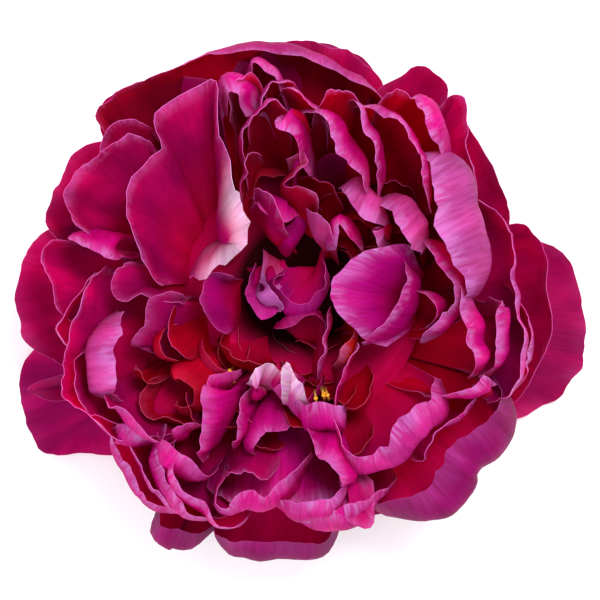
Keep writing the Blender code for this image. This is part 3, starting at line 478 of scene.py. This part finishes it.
def turnFlat(vector, angle):
    cosine, sine = math.cos(angle), math.sin(angle)
    return Vector((vector.x * cosine - vector.y * sine, vector.x * sine + vector.y * cosine, 0.0))


def petalCurves(entry, across):
    # the petal's lines from root to rim, each as the four points of a Bezier curve, with the
    # direction in which the line ends
    whorlName, azimuth, pull, *points = entry
    whorl = whorls[whorlName]
    form = petalForm
    out, beside = heading(math.radians(azimuth))
    rim = [rimPoint(points, i / across) for i in range(across + 1)]
    wide = sum(place.xy.length for place, lean in rim) / len(rim)
    rootR = min(max(form["rootShare"] * wide, whorl["r"]), whorl["mostR"])
    middle = out * rootR + Vector((0.0, 0.0, whorl["z"]))
    span = Vector(points[-1][:2]) - Vector(points[0][:2])
    run = sum((b[0].xy - a[0].xy).length for a, b in zip(rim, rim[1:]))
    spread = (span / run).to_3d() + beside * (1 - span.length / run)
    spread.normalize()
    even = max(1, round(across / form["evenParts"]))
    curves = []
    for i in range(across + 1):
        end, lean = rim[i]
        ahead = rim[min(i + even, across)][0] - rim[max(i - even, 0)][0]
        side = Vector((-ahead.y, ahead.x, 0.0)).normalized()
        offset = 2 * i / across - 1
        root = middle + spread * offset * whorl["width"] / 2
        end = root.lerp(end, 1 - form["shoulder"] * offset ** 4)
        chord = end - root
        radial = Vector((chord.x, chord.y, 0.0)).normalized()
        swing = side.xy.angle_signed(radial.xy, 0.0)
        fade = (math.radians(form["mostSwing"]) - abs(swing)) / math.radians(form["swingFade"])
        level = turnFlat(side, -form["swingShare"] * min(max(fade, 0.0), 1.0) * swing)
        if whorlName == "hood":  # arches straight over from its root, so its lines never cross
            level = -radial
        tilt = math.radians(lean)
        last = level * math.sin(tilt) + Vector((0.0, 0.0, math.cos(tilt)))
        reach = max(chord.dot(out), form["leastReach"] * chord.length)
        plane = (out * reach + beside * chord.dot(beside)).normalized()
        climb = math.atan2(chord.z, chord.dot(plane))
        finish = math.atan2(last.z, last.dot(plane))
        start = max(climb + form["arcShare"] * (climb - finish), math.radians(whorl["rise"]))
        start = min(start, math.radians(form["mostStart"]))
        first = plane * math.cos(start) + Vector((0.0, 0.0, math.sin(start)))
        handle = root + first * form["rootPull"] * chord.length
        curves.append((root, handle, end - last * pull * chord.length, end, last))
    return curves


def smooth(low, high, value):
    t = min(max((value - low) / (high - low), 0.0), 1.0)
    return t * t * (3 - 2 * t)


def blend(one, other, share):
    return [a + (b - a) * share for a, b in zip(one, other)]


def bumps(x, y, z):
    # smooth noise between -1 and 1
    return noise.noise(Vector((x, y, z)))


def onCurve(curve, t):
    a, b, c, d, last = curve
    s = 1 - t
    return a * s ** 3 + b * 3 * s * s * t + c * 3 * s * t * t + d * t ** 3


def ruffled(rows, curves, run, whorl, seed, calm):
    # lifts the even surface into waves and crimps that grow towards the rim, with long soft creases
    # and dents, and notches the rim
    form = petalForm
    across, along = len(rows) - 1, len(rows[0]) - 1
    out = []
    for i in range(across + 1):
        s = run * i / across
        line = []
        nearSide = abs(2 * i / across - 1) ** 4
        notch = whorl["notch"] * bumps(s / form["notchWide"], seed, 3.1)
        notch += form["smallNotch"] * whorl["notch"] * bumps(s / form["smallNotchWide"], seed, 9.7)
        for j in range(along + 1):
            v = j / along
            here = rows[i][j]
            acrossWay = rows[min(i + 1, across)][j] - rows[max(i - 1, 0)][j]
            alongWay = rows[i][min(j + 1, along)] - rows[i][max(j - 1, 0)]
            normal = acrossWay.cross(alongWay).normalized()
            edge = max(0.0, (v - form["waveFrom"]) / (1 - form["waveFrom"]))
            edge = max(edge ** 2, form["sideWave"] * nearSide * v)
            lift = whorl["waveTall"] * edge * bumps(s / whorl["wave"], v * 1.3, seed)
            lift += whorl["crimpTall"] * edge ** 2 * bumps(s / form["crimp"], v * 3, seed + 5)
            lift += whorl["creaseTall"] * min(v * 2, 1.0) * bumps(s / form["crease"], v, seed + 9)
            dent = noise.noise(here / form["dent"] + Vector((seed, 0, 0)))
            lift += form["dentTall"] * min(v * 1.5, 1.0) * dent
            point = here + normal * lift * calm + curves[i][4] * notch * v ** 6
            point.z = max(point.z, form["lowest"])
            line.append(point)
        out.append(line)
    return out


def cellCount(long, cell):
    size, fewest, most = cell
    return min(max(round(long / size), fewest), most)


def addValues(mesh, name, values):
    # an attribute with a number or a colour for each vertex
    isColour = not isinstance(values[0], float)
    made = mesh.attributes.new(name, "FLOAT_COLOR" if isColour else "FLOAT", "POINT")
    for k, value in enumerate(values):
        setattr(made.data[k], "color" if isColour else "value", value)


def tintPetal(mesh, tints, pallor, patch, spots, seed):
    # the colour of each side: clouds of lilac along the margin, and a blush patch where it has one, on
    # the hero partly a painted highlight
    form = petalForm
    lilac, blush = linear(palette["lilac"]), linear(palette["blush"])
    patchFrom, patchTo, patchWide = patch or (2.0, 3.0, 1.0)  # past the rim's end, so none
    for side, most in form["marginMost"].items():
        base = linear(palette[tints[side]])
        colours = []
        for u, v, s, away in spots:
            cloud = 0.5 + 0.9 * bumps(s / form["cloud"][0], away / form["cloud"][1], seed + 20)
            wide = form["margin"] * (0.4 + 1.2 * max(cloud, 0.0))
            share = most * pallor * (1 - smooth(0.0, wide, away))
            # blush patch; on the hero it is partly a painted highlight on the rolled-over edge
            colour = blend(base, lilac, share * min(max(cloud, 0.0), 1.0))
            share = smooth(patchFrom, patchFrom + form["patchFade"], u)
            share *= 1 - smooth(patchTo - form["patchFade"], patchTo, u)
            colours.append(blend(colour, blush, share * (1 - smooth(0.0, patchWide, away))))
        addValues(mesh, side + "Tint", colours)


def buildPetal(name, entry, seed, face, back, calm=1.0, pallor=1.0, patch=None):
    form = petalForm
    points = entry[3:]
    rimLong = sum((Vector(b[:3]) - Vector(a[:3])).length for a, b in zip(points, points[1:]))
    across = cellCount(rimLong, form["cells"][0])
    curves = petalCurves(entry, across)
    bladeLong = sum((c[3] - c[0]).length for c in curves) / len(curves)
    along = cellCount(bladeLong, form["cells"][1])
    rows = [[onCurve(curve, j / along) for j in range(along + 1)] for curve in curves]
    rows = ruffled(rows, curves, rimLong, whorls[entry[0]], seed, calm)

    petal = flatGrid(name, across, along)
    mesh = petal.data
    body = petal.vertex_groups.new(name="body")
    spots = []  # share of the rim, share of the blade, mm along the rim, mm from the free rim
    for vert in mesh.vertices:
        i = round((vert.co.x + 1) / 2 * across)
        j = round((vert.co.y + 1) / 2 * along)
        u, v = i / across, j / along
        vert.co = (rows[i][j] + axis) * mm
        fromSide = min(i, across - i) / across * rimLong * v
        away = min((1 - v) * bladeLong, fromSide + 0.2)
        body.add([vert.index], smooth(0.0, form["thinOver"], away), "REPLACE")
        away += form["marginFade"] * max(form["marginFrom"] - v, 0.0)
        spots.append((u, v, rimLong * i / across, away))
    outward = (1 - pallor) * form["lessPale"]
    addValues(mesh, "fromRim", [(away + outward) / 10 for u, v, s, away in spots])  # cm
    addValues(mesh, "alongBlade", [v for u, v, s, away in spots])
    for loop in mesh.loops:  # the UV map is in cm, so that veins keep their real size
        u, v = spots[loop.vertex_index][:2]
        mesh.uv_layers[0].data[loop.index].uv = (u * rimLong / 10 + seed, v * bladeLong / 10)
    tintPetal(mesh, {"face": face, "back": back}, pallor, patch, spots, seed)
    for mat in (petalFace, petalBack, petalRim):
        mesh.materials.append(mat)
    thicken(petal, form["thick"], material_offset=1, material_offset_rim=2, vertex_group="body",
            thickness_vertex_group=form["thinRim"])
    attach(petal, "root")
    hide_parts("bloom")


# Petal skin. Peony petals are thin, translucent and full of dyed sap: velvety and deep on the face
# that looks to the middle, silkier and pinker on the back, with a pale dry line at the rim.
palette = {
    # painted shade, for the petals down in the hollow
    "hollowShade": "#4C000E",
    "wine": "#B80020",
    "crimson": "#D80034",
    "carmine": "#D00048",
    "ruby": "#A4043A",
    "ember": "#F03008",
    "garnet": "#BE0474",
    "grape": "#A80478",
    "mulberry": "#D4048C",
    "cerise": "#CA0480",
    "magenta": "#D4048A",
    "plum": "#CC0496",
    "fuchsia": "#E20A9C",
    "orchid": "#E42CAA",
    "rose": "#E450B8",
    "mallow": "#CE50AE",
    "lilac": "#DC80E2",
    # near white, for blush patches; on the hero partly a painted highlight
    "blush": "#F6EAFF",
}
skin = {
    "face": dict(root="#F00034", roughness=0.6, glow=0.66, veins=0.22, streaks=0.45),
    "back": dict(root="#E80058", roughness=0.5, glow=0.54, veins=0.45, streaks=0.8),
    "rim": "#DC8EE2",
    "edge": "#F0A8DC",
    "edgeShare": 0.14,
    "light": "#FF94CC",  # what passes through a petal is redder than what it sends back
    "veinTone": "#C8508C",
    "veinDepth": 0.00030,
    "blotchPerM": 90.0,
    # noises drawn out along the blade: how many to the cm across it and along it, detail, roughness,
    # distortion, and between which values each counts. Veins fan from root to rim, bands are broad,
    # and pale streaks run in from the margin, as where the dye thins out between the veins.
    "veins": (9.0, 1.1, 1.6, 0.65, 0.4, 0.35, 0.68),
    "bands": (1.3, 0.45, 0.0, 0.5, 0.0, 0.3, 0.7),
    "streaks": (5.0, 1.6, 2.0, 0.7, 0.6, 0.42, 0.66),
    "bandValue": (0.86, 1.12),
    "blotchValue": (0.92, 1.06),
    "rimReach": 0.38,  # cm
}


def petalSkin(name, side):
    spec = skin[side]
    mat, add = newMaterial(name)
    tint = add("Attribute", {"attribute_name": side + "Tint"})
    fromRim = add("Attribute", {"attribute_name": "fromRim"})
    alongBlade = add("Attribute", {"attribute_name": "alongBlade"})
    place = add("TexCoord")
    noises, shares = {}, {}
    for key, least, most in (("veins", 0.0, spec["veins"]), ("bands", *skin["bandValue"]),
                             ("streaks", 0.0, spec["streaks"])):
        across, along, detail, rough, bent, low, high = skin[key]
        drawn = add("Mapping", {"Scale": (across, along, 1.0)}, {"Vector": place.outputs["UV"]})
        noises[key] = add("TexNoise", {"noise_dimensions": "2D", "Scale": 1.0, "Detail": detail,
                                       "Roughness": rough, "Distortion": bent}, {"Vector": drawn})
        ends = {"From Min": low, "From Max": high, "To Min": least, "To Max": most}
        shares[key] = add("MapRange", ends, {"Value": noises[key]})
    blotch = add("TexNoise", {"Scale": skin["blotchPerM"], "Detail": 1.0},
                 {"Vector": place.outputs["Object"]})
    least, most = skin["blotchValue"]
    ends = {"From Min": 0.3, "From Max": 0.7, "To Min": least, "To Max": most}
    blotched = add("MapRange", ends, {"Value": blotch})
    both = add("Math", {"operation": "MULTIPLY"}, {0: shares["bands"], 1: blotched})
    toned = add("HueSaturation", None, {"Color": tint, "Value": both})
    veined = add("Mix", {"data_type": "RGBA", "blend_type": "MULTIPLY", 7: linear(skin["veinTone"])},
                 {0: shares["veins"], 6: toned})
    rootShare = add("MapRange", {"From Min": 0.05, "From Max": 0.7, "To Min": 0.9, "To Max": 0.0},
                    {"Value": alongBlade.outputs["Fac"]})
    rooted = add("Mix", {"data_type": "RGBA", 7: linear(spec["root"])},
                 {0: rootShare, 6: veined.outputs[2]})
    ends = {"From Max": skin["rimReach"], "To Max": 0.0, "interpolation_type": "SMOOTHSTEP"}
    rimShare = add("MapRange", ends, {"Value": fromRim.outputs["Fac"], "To Min": shares["streaks"]})
    rimmed = add("Mix", {"data_type": "RGBA", 7: linear(skin["rim"])},
                 {0: rimShare, 6: rooted.outputs[2]})
    bump = add("Bump", {"Strength": 0.55, "Distance": skin["veinDepth"]}, {"Height": noises["veins"]})
    shader = add("BsdfPrincipled", {"Roughness": spec["roughness"], "Specular IOR Level": 0.12},
                 {"Base Color": rimmed.outputs[2], "Normal": bump})
    passing = {"data_type": "RGBA", "blend_type": "MULTIPLY", 0: 1.0, 7: linear(skin["light"])}
    redder = add("Mix", passing, {6: rimmed.outputs[2]})
    through = add("BsdfTranslucent", None, {"Color": redder.outputs[2]})
    mixed = add("MixShader", {"Fac": spec["glow"]}, {1: shader, 2: through})
    add("OutputMaterial", None, {"Surface": mixed})
    return mat


def rimSkin():
    # the cut edge of the petal, thin, pale and slightly dry
    mat, add = newMaterial("petal edge, pale and dry")
    tint = add("Attribute", {"attribute_name": "backTint"})
    pale = add("Mix", {"data_type": "RGBA", 0: skin["edgeShare"], 7: linear(skin["edge"])}, {6: tint})
    shader = add("BsdfPrincipled", {"Roughness": 0.6, "Specular IOR Level": 0.1},
                 {"Base Color": pale.outputs[2]})
    add("OutputMaterial", None, {"Surface": shader})
    return mat


petalFace = petalSkin("petal face, velvety and deep", "face")
petalBack = petalSkin("petal back, silky and pink", "back")
petalRim = rimSkin()
print("stage: petal skins made")

# The finish of each whorl, and of the petals that differ from theirs: tint of the face and the back,
# how strongly the petal is ruffled, how pale its margin gets, and a blush patch, partly a painted
# highlight on the hero, which is from and to which share of the rim, and how many mm it reaches in.
whorlFinish = {
    "guard": ("garnet", "mulberry", 1.0, 0.4),
    "bowl": ("magenta", "fuchsia"),
    "crown": ("carmine", "fuchsia"),
    "heart": ("carmine", "fuchsia"),
    "hood": ("magenta", "plum", 0.5),
}
petalFinish = {
    # hero: its blush patch on the rolled-over edge is partly pale margin, partly a painted highlight
    "hero": ("cerise", "rose", 0.6, 1.0, (0.6, 0.98, 10.0)),
    "right_sweep": ("magenta", "mallow", 0.5),
    "guard_left_low": ("mulberry", "mulberry", 1.0, 0.2),
    "guard_top": ("ruby", "mulberry", 1.0, 0.7),
    "guard_bottom": ("mulberry", "grape", 1.0, 0.3),
    "guard_bottom_left": ("mulberry", "grape", 1.0, 0.2),
    "left_round": ("garnet", "fuchsia"),
    "left_round_back": ("garnet", "fuchsia"),
    "left_curl": ("magenta", "rose"),
    "bowl_right_low": ("magenta", "grape", 1.0, 0.3),
    "low_scoop": ("magenta", "orchid"),
    "rosette_left": ("crimson", "wine", 1.4, 0.5),
    "rosette_low": ("wine", "crimson", 1.4, 0.4),
    "rosette_middle": ("crimson", "crimson", 1.4, 0.1),
    "arch_one": ("magenta", "rose"),
    "arch_two": ("magenta", "rose"),
    "low_point": ("magenta", "rose", 1.0, 1.0, (0.1, 0.95, 5.0)),
    "low_frill": ("magenta", "rose", 1.5, 1.0, (0.1, 0.95, 3.5)),
    "knot_low": ("plum", "plum", 1.2, 0.3),
    "knot_mid": ("plum", "plum", 1.2, 0.3),
    "knot_base": ("garnet", "garnet", 1.4, 0.2),
    "knot_top": ("cerise", "fuchsia", 1.0, 0.6),
    "knot_side": ("cerise", "plum", 1.0, 0.4),
    "knot_curl": ("magenta", "rose"),
    # knot_frill: lilac on both sides as a painted highlight on this small curled ridge
    "knot_frill": ("lilac", "lilac"),
    "knot_scrap": ("rose", "rose"),
    "centre_ember": ("ember", "ember"),
    "centre_left": ("plum", "plum", 1.0, 0.6),
    "centre_wall": ("wine", "wine", 1.0, 0.1),
    "centre_sheet": ("magenta", "magenta"),
    "dome_fold": ("magenta", "plum", 0.6),
}
for name in ("low_wave", "low_wave_back", "low_ridge", "low_mid", "low_mid_two", "low_left_scoop",
             "low_left_sheet", "low_square", "left_low", "left_low_flap", "left_square", "left_inner"):
    petalFinish[name] = ("cerise", "fuchsia", 1.0, 0.8)

for number, (name, entry) in enumerate(petals.items()):
    buildPetal(name, entry, number * 3.7 + 0.5, *petalFinish.get(name, whorlFinish[entry[0]]))
print("stage: petals built")

# Small inner petals: short, dark red and curled, they fill the space round the hollow; the ring down in
# the hollow is painted nearly black as shade
innerPetals = {
    "seed": 11,
    # no small petals in front of the wide ones at both sides, nor in the open hollow
    "clear": [(-46.0, -8.0, 0.0, 52.0), (-5.0, 10.0, 2.0, 20.0), (16.0, 46.0, -30.0, -2.0)],
    "rings": [(9.0, 31.0, 7), (12.5, 35.0, 8), (17.5, 40.0, 10), (23.5, 45.0, 12), (29.5, 48.0, 13),
              (36.0, 49.0, 14)],  # radius, height, how many
    "stepOff": 0.35,  # how far one may stand off its even place, as a share of the step
    "radiusOff": 2.5,
    "turnOff": 35,
    "wide": (9.0, 17.0),
    "topOff": (-3, 4),
    "lean": (-55, 20),
    "bulge": 0.22,  # depth of the rim's arc as a share of its width
    "drop": 3.5,  # how much lower its ends stand
    "tints": ["crimson", "carmine", "wine", "cerise"],
    "shadedTints": ["hollowShade"],  # painted shade: the ring down in the hollow is nearly black
    "firstSeed": 400,
}


def buildInnerPetals():
    spec = innerPetals
    rnd = random.Random(spec["seed"])
    number = 0
    for radius, height, many in spec["rings"]:
        # the deepest ring takes the painted shade
        tints = spec["tints"] if radius > spec["rings"][0][0] else spec["shadedTints"]
        for k in range(many):
            azimuth = 360 * (k + rnd.uniform(-spec["stepOff"], spec["stepOff"])) / many
            r = radius + rnd.uniform(-spec["radiusOff"], spec["radiusOff"])
            wide = rnd.uniform(*spec["wide"])
            turn = azimuth + rnd.uniform(-spec["turnOff"], spec["turnOff"])
            out, beside = heading(math.radians(turn))
            centre = heading(math.radians(azimuth))[0] * r
            if any(a < centre.x < b and c < centre.y < d for a, b, c, d in spec["clear"]):
                continue
            top = height + rnd.uniform(*spec["topOff"])
            lean = rnd.uniform(*spec["lean"])
            points = []
            for share in (-1, -0.5, 0, 0.5, 1):
                place = centre + beside * share * wide / 2
                place += out * (1 - share * share) * wide * spec["bulge"]
                points.append((place.x, place.y, top - spec["drop"] * share * share, lean))
            face, back = rnd.choice(tints), rnd.choice(tints)
            buildPetal("inner_petal_%02d" % number, ("heart", azimuth, 0.35, *points),
                       spec["firstSeed"] + number * 2.3, face, back, pallor=0.1)
            number += 1
    print("stage: inner petals built")


buildInnerPetals()


def turned(name, outline, sides, place):
    # a round solid: a disc, extruded and resized ring by ring from its lowest ring to its top one
    deselect()
    r, z = outline[0]
    bpy.ops.mesh.primitive_circle_add(vertices=sides, radius=r * mm, fill_type="NGON",
                                      location=(place[0] * mm, place[1] * mm, z * mm))
    piece = bpy.context.object
    piece.name = name
    piece.data.name = name
    bpy.ops.object.mode_set(mode="EDIT")
    bpy.ops.mesh.select_all(action="SELECT")
    for nextR, nextZ in outline[1:]:
        rise = (0.0, 0.0, (nextZ - z) * mm)
        bpy.ops.mesh.extrude_region_move(TRANSFORM_OT_translate={"value": rise})
        bpy.ops.transform.resize(value=(nextR / r, nextR / r, 1.0))
        r, z = nextR, nextZ
    bpy.ops.mesh.select_all(action="DESELECT")
    bpy.ops.mesh.select_non_manifold()
    bpy.ops.mesh.edge_face_add()
    bpy.ops.mesh.select_all(action="SELECT")
    bpy.ops.mesh.normals_make_consistent(inside=False)
    bpy.ops.object.mode_set(mode="OBJECT")
    bpy.ops.object.transform_apply(location=True, rotation=True, scale=True)
    bpy.ops.object.shade_smooth_by_angle(angle=math.radians(40))
    return piece


def plainSkin(name, one, other, perCm, roughness, depth, gloss=0.25, grain=0.6, shadeAround=None):
    # a matte plant skin: one colour, another in cloudy spots or, as painted shade, away from a place,
    # and fine bumps
    mat, add = newMaterial(name)
    place = add("TexCoord").outputs["Object"]
    cloud = add("TexNoise", {"Scale": perCm * 100, "Detail": 5.0, "Roughness": grain},
                {"Vector": place})
    source, oneTo, otherFrom = cloud, 0.4, 0.65
    # painted shade: with shadeAround the first colour lies near a place and the second beyond it
    if shadeAround:
        x, y, z, oneTo, otherFrom = (value * mm for value in shadeAround)
        middle = (axis.x * mm + x, axis.y * mm + y, z)
        source = add("VectorMath", {"operation": "DISTANCE", 1: middle}, {0: place}).outputs["Value"]
    share = add("MapRange", {"From Min": oneTo, "From Max": otherFrom}, {"Value": source})
    colour = add("Mix", {"data_type": "RGBA", 6: linear(one), 7: linear(other)}, {0: share})
    bump = add("Bump", {"Strength": 0.5, "Distance": depth * mm}, {"Height": cloud})
    shader = add("BsdfPrincipled", {"Roughness": roughness, "Specular IOR Level": gloss},
                 {"Base Color": colour.outputs[2], "Normal": bump})
    add("OutputMaterial", None, {"Surface": shader})
    return mat


# The bed that the petals stand in: packed petal bases round the hollow, painted nearly black in it as
# shade
bed = {
    "outline": [(8.6, 11.0), (14.5, 15.3), (24.0, 21.5), (30.0, 28.0), (31.0, 32.0), (28.0, 34.5),
                (20.0, 33.5), (11.5, 29.5), (7.5, 26.0), (5.0, 24.6)],
    "hollow": "#220004",  # painted shade: nearly black down in the hollow
    "outside": "#B00046",  # crimson where the wide petals leave it
    # place of the hollow from the flower's axis, and how far from it the painted shade ends and the red
    # begins
    "shadeAround": (0.0, 4.0, 31.0, 14.5, 22.0),
}
# painted shade: the bed is darkened towards the hollow, where the petals shade it
packed = plainSkin("packed petal bases, matte, painted shade in the hollow", bed["hollow"], bed["outside"],
                   4.0, 0.8, 0.4, gloss=0.04, grain=0.5, shadeAround=bed["shadeAround"])
bedPiece = turned("petal_bed", bed["outline"], 64, axis.xy)
bedPiece.data.materials.append(packed)
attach(bedPiece, "root")
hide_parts("bloom")
print("stage: petal bed built")

# Calyx: the cut stub of the stem, the receptacle and five rounded sepals below the guard petals
calyx = {
    "stub": [(3.5, 0.6), (3.8, 0.9), (3.7, 3.2), (4.3, 4.6), (6.4, 6.9), (8.2, 8.9), (8.3, 9.8),
             (7.7, 10.5)],
    "sepals": 5,
    "cells": (20, 24),
    "firstAzimuth": 20.0,
    "root": 5.0,
    "long": 20.0,
    "half": 8.0,
    "round": 0.25,  # how much shorter a sepal is at its sides
    "z": 8.6,
    "drop": 4.0,
    "cup": 1.4,
    "rough": 0.25,
    "thick": 0.9,
    "body": "#5F7A3C",
    "blush": "#7D3B44",
    "cut": "#B9C48A",
    "pith": "#8FA05F",
}


def buildCalyx():
    spec = calyx
    green = plainSkin("sepal skin, leathery green with a red blush", spec["body"], spec["blush"],
                      1.6, 0.5, 0.25)
    cut = plainSkin("cut pith, wet and pale", spec["cut"], spec["pith"], 12.0, 0.4, 0.1)
    stub = turned("calyx_stub", spec["stub"], 48, axis.xy)
    stub.data.materials.append(green)
    stub.data.materials.append(cut)
    for face in stub.data.polygons:
        if face.normal.z < -0.9 and face.center.z < 1.2 * mm:
            face.material_index = 1
    pieces = [stub]
    for k in range(spec["sepals"]):
        out, beside = heading(math.radians(spec["firstAzimuth"] + 360 * k / spec["sepals"]))
        sepal = flatGrid("sepal_%d" % (k + 1), *spec["cells"])
        for vert in sepal.data.vertices:
            offset = vert.co.x
            t = (vert.co.y + 1) / 2
            half = spec["half"] * math.sin(math.pi * (0.06 + 0.66 * t)) ** 0.8
            reach = spec["root"] + spec["long"] * t * (1 - spec["round"] * offset ** 2)
            height = spec["z"] - spec["drop"] * t ** 1.6 + spec["cup"] * offset ** 2 * t
            height += spec["rough"] * bumps(offset * 3, t * 2, k * 5.0)
            vert.co = (out * reach + beside * offset * half + Vector((0, 0, height)) + axis) * mm
        sepal.data.materials.append(green)
        thicken(sepal, spec["thick"])
        pieces.append(sepal)
    for piece in pieces:
        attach(piece, "root")
        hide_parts("calyx")
    print("stage: calyx built")


buildCalyx()

# Carpels: three felted flasks with dark pink stigmas on a low disc, deep in the hollow
carpels = {
    "disc": [(4.2, 24.85), (4.4, 25.2), (4.3, 26.0), (3.4, 26.5)],
    "flask": [(1.5, 25.5), (1.9, 27.2), (2.0, 28.6), (1.8, 30.2), (1.3, 32.2), (0.85, 33.4)],
    "stigma": [(0.8, 33.3), (1.2, 34.2), (1.35, 34.9), (1.0, 35.3), (0.5, 35.45)],
    "many": 3,
    "ring": 2.3,
    "firstTurn": 0.5,
    "felt": "#C9B98A",
    "shade": "#A08A52",
    "stigmaRed": "#B4204E",
    "stigmaDeep": "#7E0C30",
}


def buildCarpels():
    spec = carpels
    felt = plainSkin("carpel felt, short pale hairs", spec["felt"], spec["shade"], 14.0, 0.85, 0.3)
    red = plainSkin("stigma, moist and dark pink", spec["stigmaRed"], spec["stigmaDeep"],
                    10.0, 0.45, 0.2)
    parts = [turned("carpel_disc", spec["disc"], 40, axis.xy)]
    parts[0].data.materials.append(felt)
    for k in range(spec["many"]):
        out, beside = heading(2 * math.pi * k / spec["many"] + spec["firstTurn"])
        place = axis.xy + out.xy * spec["ring"]
        flask = turned("carpel_%d" % (k + 1), spec["flask"], 28, place)
        flask.data.materials.append(felt)
        tip = turned("stigma_%d" % (k + 1), spec["stigma"], 20, place)
        tip.data.materials.append(red)
        parts += [flask, tip]
    for part in parts:
        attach(part, "root")
        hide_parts("carpels")
    print("stage: carpels built")


buildCarpels()

# Stamens: the few that have not turned into petals stand below the hollow, yellow and slender
stamens = {
    "seed": 5,
    # groups that the photo shows: x, y, height of the anthers, how many
    "groups": [(5.6, -23.8, 55.0, 4), (-16.5, -18.3, 49.0, 3)],
    "spread": (1.6, 1.4),  # how far one stands from its group's place, in x and y
    "heightOff": (-2, 1),
    "longOff": (0.85, 1.1),
    "footIn": 0.93,  # distance of the foot from the flower's axis, as a share of the tip's
    "filamentR": 0.28,
    "filamentLong": 11.0,
    "bow": 0.10,  # as a share of the distance from the flower's axis
    "taper": (1.15, 0.45),  # share of the radius at the foot, and how much of it the tip loses
    "antherLong": 2.6,
    "antherR": 0.45,
    "yellow": "#F2B02A",
    "pollen": "#D98A1E",
    "filament": "#E8C46A",
}


def oneStamen(name, tip, foot, filamentSkin, antherSkin):
    # a curved tapering filament with a two-lobed anther along its end
    deselect()
    bpy.ops.mesh.primitive_cylinder_add(vertices=7, radius=1.0, depth=2.0, end_fill_type="NGON")
    filament = bpy.context.object
    bpy.ops.object.mode_set(mode="EDIT")
    for level in (0, -0.5, 0.5):
        bpy.ops.mesh.select_all(action="SELECT")
        bpy.ops.mesh.bisect(plane_co=(0, 0, level), plane_no=(0, 0, 1))
    bpy.ops.object.mode_set(mode="OBJECT")
    bow = Vector((foot.x, foot.y, 0.0)) * stamens["bow"]
    for vert in filament.data.vertices:
        t = (vert.co.z + 1) / 2
        r = stamens["filamentR"] * (stamens["taper"][0] - stamens["taper"][1] * t)
        line = foot.lerp(tip, t) + bow * math.sin(math.pi * t)
        vert.co = (line + Vector((vert.co.x * r, vert.co.y * r, 0.0))) * mm
    filament.data.materials.append(filamentSkin)
    along = (tip - foot).normalized()
    turn = along.to_track_quat("Z", "Y")
    lobes = []
    for side in (-1, 1):
        bpy.ops.mesh.primitive_uv_sphere_add(segments=8, ring_count=6, radius=1.0)
        lobe = bpy.context.object
        for vert in lobe.data.vertices:
            r = stamens["antherR"] * (1.0 - 0.25 * vert.co.z)
            local = Vector((vert.co.x * r * 0.75 + side * 0.42 * stamens["antherR"],
                            vert.co.y * r * 0.8, vert.co.z * stamens["antherLong"] / 2))
            vert.co = (tip + turn @ local + along * stamens["antherLong"] * 0.35) * mm
        lobe.data.materials.append(antherSkin)
        lobes.append(lobe)
    stamen = joinPieces([filament] + lobes, name)
    bpy.ops.object.shade_smooth()
    return stamen


def buildStamens():
    spec = stamens
    rnd = random.Random(spec["seed"])
    thread = plainSkin("stamen thread, waxy pale yellow", spec["filament"], spec["yellow"],
                       6.0, 0.5, 0.05)
    dust = plainSkin("anther, powdery with pollen", spec["yellow"], spec["pollen"], 18.0, 0.8, 0.15)
    tips = []
    for x, y, z, many in spec["groups"]:
        for k in range(many):
            offX, offY = (rnd.uniform(-off, off) for off in spec["spread"])
            tips.append(Vector((x + offX, y + offY, z + rnd.uniform(*spec["heightOff"]))))
    made = []
    for k, tip in enumerate(tips):
        foot = Vector((tip.x, tip.y, 0.0)) * spec["footIn"]
        foot.z = tip.z - spec["filamentLong"] * rnd.uniform(*spec["longOff"])
        made.append(oneStamen("stamen_%02d" % k, tip + axis, foot + axis, thread, dust))
    cluster = joinPieces(made, "stamens")
    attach(cluster, "root")
    print("stage: stamens built")


buildStamens()
